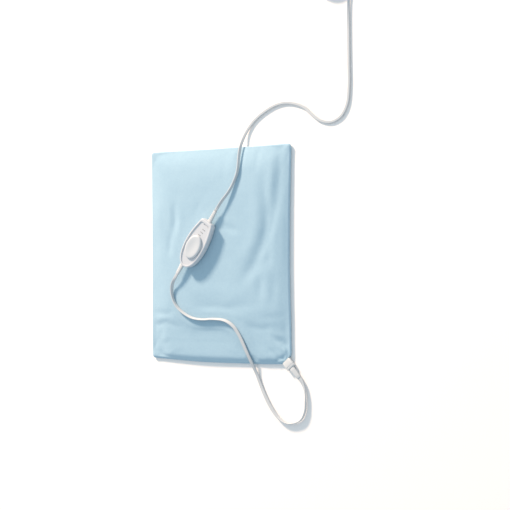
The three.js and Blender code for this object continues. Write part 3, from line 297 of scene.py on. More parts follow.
@dataclass(frozen=True)
class Finish:
    """A surface that is built once and shared by every piece that has it."""

    name: str

    def sockets(self, board: NodeBoard) -> dict[str, Value]:
        """Gives the values of the shader's sockets, which each kind of finish has of its own."""
        raise NotImplementedError

    @cache
    def build(self) -> bpy.types.Material:
        """Builds the material, once for each finish."""
        board = NodeBoard(self.name)
        return board.surface(self.sockets(board))

    def dress(self, piece: Piece) -> None:
        """Gives a piece this finish all over."""
        piece.data.materials.clear()
        piece.data.materials.append(self.build())


@dataclass(frozen=True)
class CoverCloth(Finish):
    """Brushed flat weave of the pad's cover, with a stitched seam round its edge."""

    name: str = "cover_cloth"
    colour: Colour = linear(178, 205, 218)
    deep: Colour = linear(154, 185, 203)
    thread: Colour = linear(192, 212, 220)
    thread_pitch: float = 0.9
    nap_size: float = 1.6
    patch_size: float = 55.0
    heather_size: float = 4.5
    slub_size: float = 3.0
    slub_stretch: Point = (1.0, 0.16, 1.0)
    seam_height: float = 3.2
    seam_half: float = 0.55
    seam_soft: float = 0.5
    seam_dark: float = 0.35
    stitch_pitch: float = 3.4
    stitch_share: float = 0.72
    stitch_soft: float = 0.2
    stitch_drop: float = 1.5
    stitch_half: float = 0.5
    stitch_edge: float = 0.3
    stitch_pale: float = 0.8
    tone_shares: tuple[float, ...] = (0.3, 0.4, 0.18, 0.12)
    relief_shares: tuple[float, ...] = (0.3, 0.35, 0.3, 0.5, 0.6, -0.9)
    roughness: float = 0.82
    rough_spread: float = 0.14
    depth: float = 0.32
    bump: float = 0.7

    def sockets(self, board: NodeBoard) -> dict[str, Value]:
        """Gives the cloth's values.

        Args:
            board: The material's node tree.

        Returns:
            The values by socket.
        """
        x, y, z = (board.axis(name) for name in "XYZ")
        nap = board.mottle(self.nap_size, Detail.FINE)
        patches = board.mottle(self.patch_size, Detail.MIXED)
        heather = board.mottle(self.heather_size, Detail.MIXED)
        slub = board.mottle(self.slub_size, Detail.SOFT, self.slub_stretch)
        warp, weft = x.wave(self.thread_pitch), y.wave(self.thread_pitch)
        weave = warp * weft + (1 - warp) * (1 - weft)
        seam = z.distance(self.seam_height).below(self.seam_half, self.seam_soft)
        row = z.distance(self.seam_height - self.stitch_drop).below(self.stitch_half, self.stitch_edge)
        stitch = (x + y).wave(self.stitch_pitch).below(self.stitch_share, self.stitch_soft) * row
        tone = board.total((patches, heather, nap, weave), self.tone_shares)
        tone = board.blend(tone, self.deep, self.colour)
        tone = board.blend(stitch * self.stitch_pale, tone, self.thread)
        height = board.total((weave, nap, slub, heather, stitch, seam), self.relief_shares)
        return {
            "Base Color": board.blend(seam * self.seam_dark, tone, self.deep),
            "Roughness": self.roughness + nap * self.rough_spread,
            "Normal": board.relief(height, self.depth, self.bump),
            "Sheen Weight": 0.12,
            "Sheen Roughness": 0.5,
            "Specular IOR Level": 0.2,
        }


@dataclass(frozen=True)
class MouldedPlastic(Finish):
    """Moulded plastic with a fine spark-eroded grain and faint flow marks."""

    colour: Colour
    shade: Colour
    roughness: float = 0.42
    grain: float = 0.5
    grain_depth: float = 0.02
    coat: float = 0.0
    flow_size: float = 14.0
    flow_stretch: Point = (1.0, 0.5, 1.0)
    handling_size: float = 6.0
    tone_shares: tuple[float, ...] = (0.6, 0.4)
    rough_spread: float = 0.14
    bump: float = 0.6

    def sockets(self, board: NodeBoard) -> dict[str, Value]:
        """Gives the plastic's values.

        Args:
            board: The material's node tree.

        Returns:
            The values by socket.
        """
        flow = board.mottle(self.flow_size, Detail.MIXED, self.flow_stretch)
        grain = board.mottle(self.grain, Detail.SOFT)
        handling = board.mottle(self.handling_size, Detail.FINE)
        tone = board.total((flow, grain), self.tone_shares)
        return {
            "Base Color": board.blend(tone, self.shade, self.colour),
            "Roughness": handling.around(self.roughness, self.rough_spread),
            "Normal": board.relief(grain, self.grain_depth, self.bump),
            "Coat Weight": self.coat,
        }


@dataclass(frozen=True)
class CordJacket(Finish):
    """Extruded soft jacket of a flat cord, with fine draw lines along it."""

    colour: Colour
    shade: Colour
    roughness: float = 0.46
    line_pitch: float = 0.125
    bloom_size: float = 9.0
    pit_size: float = 0.7
    tone_shares: tuple[float, ...] = (0.7, 0.3)
    relief_shares: tuple[float, ...] = (0.4, 0.6)
    rough_spread: float = 0.12
    depth: float = 0.03
    bump: float = 0.6

    def sockets(self, board: NodeBoard) -> dict[str, Value]:
        """Gives the jacket's values.

        Args:
            board: The material's node tree.

        Returns:
            The values by socket.
        """
        across = board.node("ShaderNodeAttribute", {"attribute_name": "across"}, {}, "Fac")
        bloom = board.mottle(self.bloom_size, Detail.MIXED)
        pits = board.mottle(self.pit_size, Detail.SOFT)
        tone = board.total((bloom, pits), self.tone_shares)
        height = board.total((across.wave(self.line_pitch), pits), self.relief_shares)
        return {
            "Base Color": board.blend(tone, self.shade, self.colour),
            "Roughness": bloom.around(self.roughness, self.rough_spread),
            "Normal": board.relief(height, self.depth, self.bump),
        }


@dataclass(frozen=True)
class DrawnMetal(Finish):
    """Stamped or drawn metal with fine lines and a little tarnish."""

    colour: Colour
    tarnish: Colour
    roughness: float = 0.3
    line_size: float = 0.5
    line_stretch: Point = (1.0, 1.0, 0.06)
    stain_size: float = 5.0
    rough_spread: float = 0.16
    depth: float = 0.02
    bump: float = 0.5

    def sockets(self, board: NodeBoard) -> dict[str, Value]:
        """Gives the metal's values.

        Args:
            board: The material's node tree.

        Returns:
            The values by socket.
        """
        lines = board.mottle(self.line_size, Detail.SOFT, self.line_stretch)
        stain = board.mottle(self.stain_size, Detail.FINE)
        return {
            "Base Color": board.blend(stain * stain, self.colour, self.tarnish),
            "Metallic": 1.0,
            "Roughness": lines.around(self.roughness, self.rough_spread),
            "Normal": board.relief(lines, self.depth, self.bump),
        }


@dataclass(frozen=True)
class FibreFill(Finish):
    """Loose fibres of batting or felt."""

    colour: Colour
    shade: Colour
    fibre: float = 1.2
    fibre_stretch: Point = (1.0, 0.3, 1.0)
    tuft_size: float = 11.0
    tone_shares: tuple[float, ...] = (0.6, 0.4)
    roughness: float = 0.9
    rough_spread: float = 0.08
    depth: float = 0.6
    bump: float = 0.8

    def sockets(self, board: NodeBoard) -> dict[str, Value]:
        """Gives the fibres' values.

        Args:
            board: The material's node tree.

        Returns:
            The values by socket.
        """
        fibres = board.mottle(self.fibre, Detail.FIBROUS, self.fibre_stretch)
        tufts = board.mottle(self.tuft_size, Detail.MIXED)
        pile = board.total((fibres, tufts), self.tone_shares)
        return {
            "Base Color": board.blend(pile, self.shade, self.colour),
            "Roughness": self.roughness + fibres * self.rough_spread,
            "Normal": board.relief(pile, self.depth, self.bump),
            "Sheen Weight": 0.2,
        }


@dataclass(frozen=True)
class FloorPaint(Finish):
    """Plain pale sheet that the pad lies on."""

    name: str = "floor_sheet"
    colour: Colour = (0.98, 0.935, 0.905)
    shade: Colour = (0.97, 0.925, 0.895)
    cloud_size: float = 300.0

    def sockets(self, board: NodeBoard) -> dict[str, Value]:
        """Gives the sheet's values."""
        cloud = board.mottle(self.cloud_size, Detail.MIXED)
        return {"Base Color": board.blend(cloud, self.shade, self.colour), "Roughness": 0.9}


WHITE_CASE = MouldedPlastic("case_white", linear(209, 211, 214), linear(203, 205, 209))
WHITE_SLIDE = MouldedPlastic("slide_white", linear(207, 210, 212), linear(201, 204, 207), 0.4, 0.4, 0.015)
LEVEL_PRINT = MouldedPlastic("level_grey", linear(160, 161, 163), linear(150, 152, 155), 0.5)
CORD_WHITE = CordJacket("cord_white", linear(201, 204, 206), linear(193, 196, 198))
GRIP_WHITE = MouldedPlastic("grip_white", linear(212, 213, 213), linear(205, 206, 206), 0.48, 0.7, 0.03)
TIE_BLACK = MouldedPlastic("tie_black", linear(52, 52, 54), linear(38, 38, 40), 0.55)
VINYL = MouldedPlastic("envelope_vinyl", linear(222, 224, 220), linear(206, 209, 205), 0.35, 1.2, 0.05)
BRASS = DrawnMetal("blade_brass", linear(204, 190, 148), linear(170, 150, 106), 0.28)

SLOT_FINISHES = {
    "cover_fabric": CoverCloth("cover_cloth_inner"),
    "envelope_vinyl": VINYL,
    "batting": FibreFill("batting_white", linear(232, 231, 226), linear(212, 211, 205)),
    "felt": FibreFill("carrier_felt", linear(206, 203, 194), linear(182, 178, 168), 0.7),
    "heating_wire": DrawnMetal("element_wire", linear(168, 162, 156), linear(120, 114, 110), 0.45),
    "wire_insulation": MouldedPlastic("wire_sleeve", linear(214, 208, 196), linear(198, 192, 180), 0.45),
    "dark_plastic": MouldedPlastic("dark_mould", linear(46, 46, 49), linear(34, 34, 37), 0.5),
    "steel": DrawnMetal("bright_steel", linear(196, 197, 200), linear(150, 148, 146), 0.32),
    "cord_plastic": GRIP_WHITE,
    "case_plastic": WHITE_CASE,
    "slide_plastic": WHITE_SLIDE,
    "inner_plastic": MouldedPlastic("inner_mould", linear(205, 205, 200), linear(190, 190, 186), 0.5),
    "copper": DrawnMetal("contact_copper", linear(206, 142, 108), linear(160, 100, 74), 0.3),
    "board": MouldedPlastic("board_green", linear(52, 104, 72), linear(40, 88, 60), 0.4, 0.9, 0.02, 0.3),
    "brass": BRASS,
}


class Axis(Enum):
    """The direction in which a stack of sections grows."""

    ALONG = (1, 0, 0)
    ACROSS = (0, 1, 0)
    UP = (0, 0, 1)

    def at(self, distance: float) -> Vector:
        """Gives the point so far along the axis."""
        return Vector(self.value) * distance

    def size(self, wide: float, high: float) -> Point:
        """Gives the scale of a section that lies across the axis."""
        sizes = {Axis.ALONG: (1, wide, high), Axis.ACROSS: (wide, 1, high), Axis.UP: (wide, high, 1)}
        return sizes[self]


class Joining(Enum):
    """What a piece does with the tool that it is combined with."""

    CUT = "DIFFERENCE"
    UNITE = "UNION"


@dataclass
class Section:
    """One ring of a stacked shape, as its place along the axis and its size against the full outline."""

    at: float
    wide: float
    high: float


class Workpiece:
    """One mesh that is modelled with Blender's operators, in millimetres."""

    def __init__(self, name: str) -> None:
        """Sets the name that the piece gets."""
        self.name = name
        self.obj: Piece | None = None

    @staticmethod
    def clear_selection() -> None:
        """Leaves edit mode and deselects everything."""
        if bpy.context.object and bpy.context.object.mode != "OBJECT":
            bpy.ops.object.mode_set(mode="OBJECT")
        bpy.ops.object.select_all(action="DESELECT")

    @staticmethod
    def edit_edges() -> None:
        """Goes into edit mode and selects every edge."""
        bpy.ops.object.mode_set(mode="EDIT")
        bpy.ops.mesh.select_mode(type="EDGE")
        bpy.ops.mesh.select_all(action="SELECT")

    def add(self, primitive: Callable[..., object], **settings: object) -> "Workpiece":
        """Starts with a primitive whose place and size are put into its mesh.

        Args:
            primitive: The operator that adds it.
            settings: The operator's settings.

        Returns:
            This piece.
        """
        self.clear_selection()
        primitive(**settings)
        self.obj = bpy.context.object
        self.obj.name = self.name
        self.obj.data.name = self.name
        bpy.ops.object.transform_apply(location=True, rotation=True, scale=True)
        return self

    def outline(self, points: Sequence[Point]) -> "Workpiece":
        """Starts with a closed ring of edges through the points.

        Args:
            points: The ring's corners in order.

        Returns:
            This piece.
        """
        self.add(bpy.ops.mesh.primitive_circle_add, vertices=len(points), radius=1, fill_type="NOTHING")
        for vertex, point in zip(self.obj.data.vertices, points):
            vertex.co = point
        return self

    def block(self, low: Point, high: Point) -> "Workpiece":
        """Starts with a box between two corners.

        Args:
            low: The lowest corner.
            high: The highest corner.

        Returns:
            This piece.
        """
        middle = [(a + b) / 2 for a, b in zip(low, high)]
        size = [b - a for a, b in zip(low, high)]
        return self.add(bpy.ops.mesh.primitive_cube_add, size=1, location=middle, scale=size)

    def rod(self, radius: float, low: Point, length: float) -> "Workpiece":
        """Starts with an upright round rod.

        Args:
            radius: The rod's radius.
            low: Centre of its lower end.
            length: Its length.

        Returns:
            This piece.
        """
        sizes = {"radius": radius, "depth": length, "location": Vector(low) + Axis.UP.at(length / 2)}
        return self.add(bpy.ops.mesh.primitive_cylinder_add, vertices=ROD_SIDES, **sizes)

    def stack(self, sections: Sequence[Section], axis: Axis) -> "Workpiece":
        """Grows the ring of edges that the piece started with through a row of sections."""
        self.edit_edges()
        return self.grow(sections, axis)

    def grow(self, sections: Sequence[Section], axis: Axis, centre: Point = (0.0, 0.0, 0.0)) -> "Workpiece":
        """Grows the ring that is still selected through a row of sections.

        Args:
            sections: The sections, the first of which is the ring itself.
            axis: The way in which the stack grows.
            centre: The point about which a section is scaled.

        Returns:
            This piece.
        """
        bpy.ops.object.mode_set(mode="EDIT")
        for before, after in zip(sections, sections[1:]):
            move = axis.at(after.at - before.at)
            size = axis.size(after.wide / before.wide, after.high / before.high)
            bpy.ops.mesh.extrude_region_move(TRANSFORM_OT_translate={"value": move})
            bpy.ops.transform.resize(value=size, center_override=Vector(centre) + axis.at(after.at))
        bpy.ops.object.mode_set(mode="OBJECT")
        return self

    def close_ends(self) -> "Workpiece":
        """Fills every open ring and turns the faces outwards.

        Returns:
            This piece.
        """
        self.edit_edges()
        bpy.ops.mesh.select_non_manifold(extend=False)
        bpy.ops.mesh.edge_face_add()
        return self.face_out()

    def close_last(self) -> "Workpiece":
        """Fills the ring that was grown last and turns the faces outwards.

        Returns:
            This piece.
        """
        bpy.ops.object.mode_set(mode="EDIT")
        bpy.ops.mesh.edge_face_add()
        return self.face_out()

    def face_out(self) -> "Workpiece":
        """Turns the faces outwards and goes back to object mode.

        Returns:
            This piece.
        """
        bpy.ops.object.mode_set(mode="EDIT")
        bpy.ops.mesh.select_all(action="SELECT")
        bpy.ops.mesh.normals_make_consistent(inside=False)
        bpy.ops.object.mode_set(mode="OBJECT")
        return self

    def _choose(self) -> None:
        """Makes this piece the only one that is selected."""
        self.clear_selection()
        bpy.context.view_layer.objects.active = self.obj
        self.obj.select_set(True)

    def modify(self, kind: str, **settings: object) -> "Workpiece":
        """Adds a modifier and applies it.

        Args:
            kind: Blender's name of the modifier type.
            settings: Values of the modifier's settings.

        Returns:
            This piece.
        """
        modifier = self.obj.modifiers.new(kind.lower(), kind)
        for key, value in settings.items():
            setattr(modifier, key, value)
        self._choose()
        bpy.ops.object.modifier_apply(modifier=modifier.name)
        return self

    def combine(self, tool: "Workpiece", joining: Joining) -> "Workpiece":
        """Cuts or unites with another piece, which is used up.

        Args:
            tool: The other piece.
            joining: What is done with it.

        Returns:
            This piece.
        """
        self.modify("BOOLEAN", operation=joining.value, object=tool.obj, solver="EXACT")
        bpy.data.objects.remove(tool.obj, do_unlink=True)
        return self

    def place(self, frame: Matrix, smooth: float = 40.0) -> Piece:
        """Smooths the shading and puts the piece's place into its mesh.

        Args:
            frame: The sub-assembly's placement.
            smooth: Angle up to which an edge is shaded smooth, in degrees.

        Returns:
            The finished object.
        """
        self._choose()
        bpy.ops.object.shade_smooth_by_angle(angle=math.radians(smooth))
        self.obj.data.transform(frame)
        self.obj.data.update()
        self.obj.select_set(False)
        return self.obj


def rounded_bar(name: str, half: PlanPoint, squareness: float, count: int, rows: list[Section]) -> Workpiece:
    """Stacks sections of a rounded rectangle along the X axis and closes both ends.

    Args:
        name: The piece's name.
        half: Half of the full outline's width and height.
        squareness: 2 for an ellipse, more for squarer corners.
        count: How many points a section has.
        rows: The sections.

    Returns:
        The closed piece.
    """
    ring = []
    for step in range(count):
        angle = FULL_TURN * step / count
        c, s = math.cos(angle), math.sin(angle)
        y = half[0] * rows[0].wide * math.copysign(abs(c) ** (2 / squareness), c)
        z = half[1] * rows[0].high * math.copysign(abs(s) ** (2 / squareness), s)
        ring.append((rows[0].at, y, z))
    return Workpiece(name).outline(ring).stack(rows, Axis.ALONG).close_ends()


def in_scene(name: str, data: bpy.types.ID) -> Piece:
    """Makes an object of finished data and puts it into the scene."""
    made = bpy.data.objects.new(name, data)
    bpy.context.scene.collection.objects.link(made)
    return made


def from_points(name: str, points: Array, faces: list[tuple[int, ...]]) -> Piece:
    """Makes a closed piece of points and faces, with its faces turned outwards.

    Args:
        name: The piece's name.
        points: Its points in millimetres.
        faces: The point numbers of each face.

    Returns:
        The piece.
    """
    mesh = bpy.data.meshes.new(name)
    mesh.from_pydata((points * MM).tolist(), [], faces)
    mesh.update()
    work = bmesh.new()
    work.from_mesh(mesh)
    bmesh.ops.recalc_face_normals(work, faces=work.faces)
    work.to_mesh(mesh)
    work.free()
    return in_scene(name, mesh)


def shade_smooth(mesh: bpy.types.Mesh) -> None:
    """Shades every face of a mesh smooth."""
    mesh.polygons.foreach_set("use_smooth", [True] * len(mesh.polygons))


def deliver(piece: Piece, finish: Finish, slot: str, body: str, *nodes: str) -> Piece:
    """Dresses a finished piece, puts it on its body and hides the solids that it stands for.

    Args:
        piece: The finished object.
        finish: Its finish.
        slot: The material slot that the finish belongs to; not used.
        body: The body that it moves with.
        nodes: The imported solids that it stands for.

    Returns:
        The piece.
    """
    finish.dress(piece)
    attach(piece, body)
    if nodes:
        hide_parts(*nodes)
    LOG.info("%s: %d faces", piece.name, len(piece.data.polygons))
    return piece


@dataclass
class FlatCord:
    """A flat cord that follows a route of points, each with a roll of its section in degrees."""

    name: str
    width: float
    thickness: float
    cores: int
    route: list[RoutePoint]
    groove: float
    groove_half: float = 0.42
    side_round: float = 0.8
    face_round: float = 0.62
    step: float = 2.6
    curve_steps: int = 12
    section_points: int = 28
    centre_line: Array = field(init=False)
    rolls: Array = field(init=False)

    def __post_init__(self) -> None:
        """Lays one smooth curve through the route and marks it at even steps."""
        points = np.array([p[:3] for p in self.route], float)
        rolls = np.array([p[3] for p in self.route], float)
        dense, dense_rolls = self._curve(points, rolls)
        travelled = np.concatenate([[0], np.cumsum(np.linalg.norm(np.diff(dense, axis=0), axis=1))])
        count = max(2, round(travelled[-1] / self.step))
        marks = np.linspace(0, travelled[-1], count + 1)
        self.centre_line = np.stack([np.interp(marks, travelled, dense[:, k]) for k in range(3)], axis=1)
        self.rolls = np.interp(marks, travelled, dense_rolls)

    def _curve(self, points: Array, rolls: Array) -> tuple[Array, Array]:
        """Runs a smooth curve through every point, without loops where points lie close.

        Args:
            points: The route's points.
            rolls: The section's roll at each point.

        Returns:
            Many points on the curve and the roll at each.
        """
        ends = np.vstack([2 * points[0] - points[1], points, 2 * points[-1] - points[-2]])
        knots = np.concatenate([[0], np.cumsum(np.linalg.norm(np.diff(ends, axis=0), axis=1) ** 0.5)])
        line, turn = [points[:1]], [rolls[:1]]
        for i in range(1, len(ends) - 2):
            p0, p1, p2, p3 = ends[i - 1:i + 3]
            k0, k1, k2, k3 = knots[i - 1:i + 3]
            t = np.linspace(k1, k2, self.curve_steps + 1)[1:, None]
            a1 = ((k1 - t) * p0 + (t - k0) * p1) / (k1 - k0)
            a2 = ((k2 - t) * p1 + (t - k1) * p2) / (k2 - k1)
            a3 = ((k3 - t) * p2 + (t - k2) * p3) / (k3 - k2)
            b1 = ((k2 - t) * a1 + (t - k0) * a2) / (k2 - k0)
            b2 = ((k3 - t) * a2 + (t - k1) * a3) / (k3 - k1)
            line.append(((k2 - t) * b1 + (t - k1) * b2) / (k2 - k1))
            share = (t[:, 0] - k1) / (k2 - k1)
            turn.append(rolls[i - 1] + (rolls[i] - rolls[i - 1]) * share)
        return np.vstack(line), np.concatenate(turn)

    def _section(self) -> Array:
        """Gives the section's outline, with a groove between each two cores.

        Returns:
            Rows of width and thickness coordinates.
        """
        angle = FULL_TURN * np.arange(self.section_points) / self.section_points
        c, s = np.cos(angle), np.sin(angle)
        x = self.width / 2 * np.sign(c) * np.abs(c) ** self.side_round
        y = self.thickness / 2 * np.sign(s) * np.abs(s) ** self.face_round
        for k in range(1, self.cores):
            place = -self.width / 2 + k * self.width / self.cores
            y = y - np.sign(s) * self.groove * np.exp(-((x - place) / self.groove_half) ** 2)
        return np.stack([x, y], axis=1)

    @property
    def length(self) -> float:
        """Gives the length of the centre line in metres."""
        return float(np.linalg.norm(np.diff(self.centre_line, axis=0), axis=1).sum()) * MM

    @property
    def path(self) -> list[Point]:
        """Gives the centre line in metres."""
        return [tuple(p * MM) for p in self.centre_line]

    def build(self) -> Piece:
        """Sweeps the section along the curve into one closed tube.

        Returns:
            The cord.
        """
        line, section = self.centre_line, self._section()
        tangent = np.gradient(line, axis=0)
        tangent /= np.linalg.norm(tangent, axis=1)[:, None]
        side = np.cross((0, 0, 1), tangent)
        side /= np.linalg.norm(side, axis=1)[:, None]
        lift = np.cross(tangent, side)
        roll = np.radians(self.rolls)[:, None]
        across = side * np.cos(roll) + lift * np.sin(roll)
        upright = np.cross(tangent, across)
        wide, thick = section[None, :, :1], section[None, :, 1:]
        rings = line[:, None] + wide * across[:, None] + thick * upright[:, None]
        n, m = len(line), len(section)
        faces = []
        for i in range(n - 1):
            for k in range(m):
                nxt = (k + 1) % m
                faces.append((i * m + k, i * m + nxt, (i + 1) * m + nxt, (i + 1) * m + k))
        faces += [tuple(range(m - 1, -1, -1)), tuple(range((n - 1) * m, n * m))]
        cord = from_points(self.name, rings.reshape(-1, 3), faces)
        marks = cord.data.attributes.new("across", "FLOAT", "POINT")
        marks.data.foreach_set("value", np.tile(np.arange(m) / m, n))
        shade_smooth(cord.data)
        return cord


def local(frame: Matrix, x: float, y: float, z: float, roll: float) -> RoutePoint:
    """Turns a point of a sub-assembly's frame into a route point of the part, in millimetres."""
    point = frame @ Vector((x, y, z)) / MM
    return (point.x, point.y, point.z, roll)


@dataclass
class PadLead:
    """The flat three-core lead from the pad's corner, in a loop on the table, to the control."""

    width: float = 6.0
    thickness: float = 2.7
    cores: int = 3
    groove: float = 0.16
    start_along: float = 37.4
    end_along: float = -67.8
    end_across: float = 6.5
    straight: float = 7.5

    def route(self) -> list[RoutePoint]:
        """Gives the lead's route.

        Returns:
            Points with the section's roll.
        """
        leave = [
            local(CORNER_FRAME, self.start_along, 0, CORNER_CORD_Z, 0),
            local(CORNER_FRAME, self.start_along + self.straight, 0, CORNER_CORD_Z - CORD_DIP, 0),
        ]
        loop = [
            (175.8, -226.5, 3.3, 25), (178.8, -239, 3.4, 55), (179.6, -254, 3.5, 80), (178, -270, 3.5, 85),
            (170.5, -284, 3.5, 85), (157.5, -290.8, 3.5, 85), (141, -291.8, 3.5, 80), (126.5, -285, 3.5, 65),
            (112, -270.6, 3.2, 40), (98.2, -250.8, 2.3, 12), (86.8, -228.7, 1.9, 0), (79.5, -210, 3.3, 0),
            (74.8, -197.5, 6.4, 0), (70.6, -186, 9.6, 0), (66.2, -175.5, 11.8, 0), (61.2, -164.3, 13.1, 3),
        ]
        over_pad = [
            (49.7, -141.7, 14.7, 10), (37.5, -126.2, 16.0, 28), (20.4, -116.9, 16.8, 48),
            (-5.7, -114.8, 17.0, 60), (-27.7, -116.1, 17.0, 63), (-50, -113.9, 17.0, 63),
            (-70.2, -105.3, 17.2, 66), (-86, -92.9, 17.2, 72), (-94.5, -78, 17.1, 74),
            (-96.6, -64, 17.7, 62), (-92.5, -51, 20.0, 30),
        ]
        arrive = [
            local(CONTROL_FRAME, self.end_along - self.straight, self.end_across, CORD_AXIS_Z - CORD_DIP, 0),
            local(CONTROL_FRAME, self.end_along, self.end_across, CORD_AXIS_Z, 0),
        ]
        return leave + loop + over_pad + arrive

    def cord(self) -> FlatCord:
        """Gives the lead laid along its route."""
        return FlatCord("pad_lead", self.width, self.thickness, self.cores, self.route(), self.groove)

    def build(self) -> Piece:
        """Returns:
            The lead.
        """
        cord = self.cord()
        piece = deliver(cord.build(), CORD_WHITE, "cord_plastic", FIXED_BODY, "lead_loop", "lead_on_pad")
        cord.path[0]
        self.width * MM
        cord.path
        return piece


@dataclass
class SupplyCord:
    """The flat twin cord from the control over the pad's top edge to a tied coil and a plug."""

    width: float = 5.4
    thickness: float = 2.7
    cores: int = 2
    groove: float = 0.3
    start_along: float = 70.6
    straight: float = 5.4
    first_roll: float = 15.0
    coil_centre: PlanPoint = (231.0, 476.0)
    coil_turns: float = 7.25
    coil_outer: float = 37.5
    coil_pitch: float = 3.6
    coil_low_z: float = 3.8
    coil_layer: float = 6.1
    climb_turns: float = 0.5
    entry_run: float = 10.5
    coil_roll: float = 90.0
    steps_per_turn: int = 48
    tail: tuple[Point, ...] = ((6, 9.9, 90), (17, 8.45, 45), (28.6, 7, 0), (34.2, 7, 0))
    plug_z: float = 7.0
    plug_ahead: float = 56.6
    NEARBY_TURN = 0.001

    def coil_point(self, turn: float) -> Vector:
        """Gives a point of the coil after so many turns.

        Args:
            turn: Turns from the coil's start.

        Returns:
            The point.
        """
        middle = self.coil_turns / 2
        radius = self.coil_outer - self.coil_pitch * (middle - abs(turn - middle))
        climb = min(max((turn - middle) / self.climb_turns + 0.5, 0.0), 1.0)
        height = self.coil_low_z + self.coil_layer * eased(climb)
        x, y = self.coil_centre
        angle = FULL_TURN * turn
        return Vector((x + radius * math.cos(angle), y + radius * math.sin(angle), height))

    def _leaving(self, turn: float) -> tuple[Vector, Vector]:
        """Gives a point of the coil and the level direction in which the cord runs there."""
        ahead = self.coil_point(turn + self.NEARBY_TURN) - self.coil_point(turn - self.NEARBY_TURN)
        return self.coil_point(turn), Vector((ahead.x, ahead.y, 0)).normalized()

    @property
    def plug_frame(self) -> Matrix:
        """Gives the plug's placement, straight ahead of the coil's end.

        Returns:
            The matrix that takes the plug's millimetres to metres of the part.
        """
        end, ahead = self._leaving(self.coil_turns)
        base = end + ahead * self.plug_ahead
        turn = math.degrees(math.atan2(ahead.y, ahead.x))
        return placed(base.x, base.y, self.plug_z, turn)

    def _coil(self) -> list[RoutePoint]:
        """Gives the route through the coil and on to the plug's sleeve.

        Returns:
            Points with the section's roll.
        """
        start, inwards = self._leaving(0.0)
        entry = start - inwards * self.straight
        places = [entry - inwards * self.entry_run, entry]
        count = round(self.coil_turns * self.steps_per_turn)
        places += [self.coil_point(self.coil_turns * k / count) for k in range(count + 1)]
        rows = [(*place, self.coil_roll) for place in places]
        end, ahead = self._leaving(self.coil_turns)
        for distance, height, roll in self.tail:
            point = end + ahead * distance
            rows.append((point.x, point.y, height, roll))
        return rows

    def route(self) -> list[RoutePoint]:
        """Gives the route from the control to the plug's sleeve.

        Returns:
            Points with the section's roll.
        """
        ahead = self.start_along + self.straight
        leave = [
            local(CONTROL_FRAME, self.start_along, 0, CORD_AXIS_Z, 0),
            local(CONTROL_FRAME, ahead, 0, CORD_AXIS_Z - CORD_DIP, self.first_roll),
        ]
        over_pad = [
            (19.5, 95.5, 21.3, 45), (30, 108, 19.5, 65), (38, 120.2, 18, 70), (44, 132.3, 17, 70),
            (48, 142.7, 16.4, 70), (49.8, 155, 15.4, 70), (49.9, 166, 14, 65), (50.1, 178, 11.9, 55),
            (50.8, 189.5, 9.4, 40), (52.8, 200, 6.1, 25), (58.5, 213.5, 3.3, 10),
        ]
        on_floor = [
            (68.2, 227.1, 2.2, 0), (80.6, 238.6, 1.9, 0), (101.7, 251.2, 1.9, 0), (122.5, 259.2, 1.9, 0),
            (143, 261.2, 1.9, 0), (163.3, 257.1, 1.9, 0), (179.4, 250, 1.9, 0), (193.3, 237.9, 1.9, 0),
            (211, 226, 1.9, 0), (232, 222.5, 1.9, 0), (251, 231, 1.9, 0), (262.5, 249.8, 1.9, 0),
            (266.5, 279.6, 1.9, 0), (266.4, 323, 1.9, 0), (266, 373.6, 1.9, 0), (266.8, 420, 2.6, 30),
            (268.2, 448, 3.6, 75),
        ]
        return leave + over_pad + on_floor + self._coil()

    def cord(self) -> FlatCord:
        """Gives the cord laid along its route."""
        return FlatCord("supply_cord", self.width, self.thickness, self.cores, self.route(), self.groove)

    def build(self, on_cord: list[Piece]) -> Piece:
        """Args:
            on_cord: The plug's pieces and the tie; not used.

        Returns:
            The cord.
        """
        cord = self.cord()
        piece = deliver(
            cord.build(), CORD_WHITE, "cord_plastic", FIXED_BODY,
            "supply_on_pad", "supply_on_floor", "supply_coil", "supply_tail",
        )
        cord.path[0]
        self.width * MM
        cord.path
        return piece


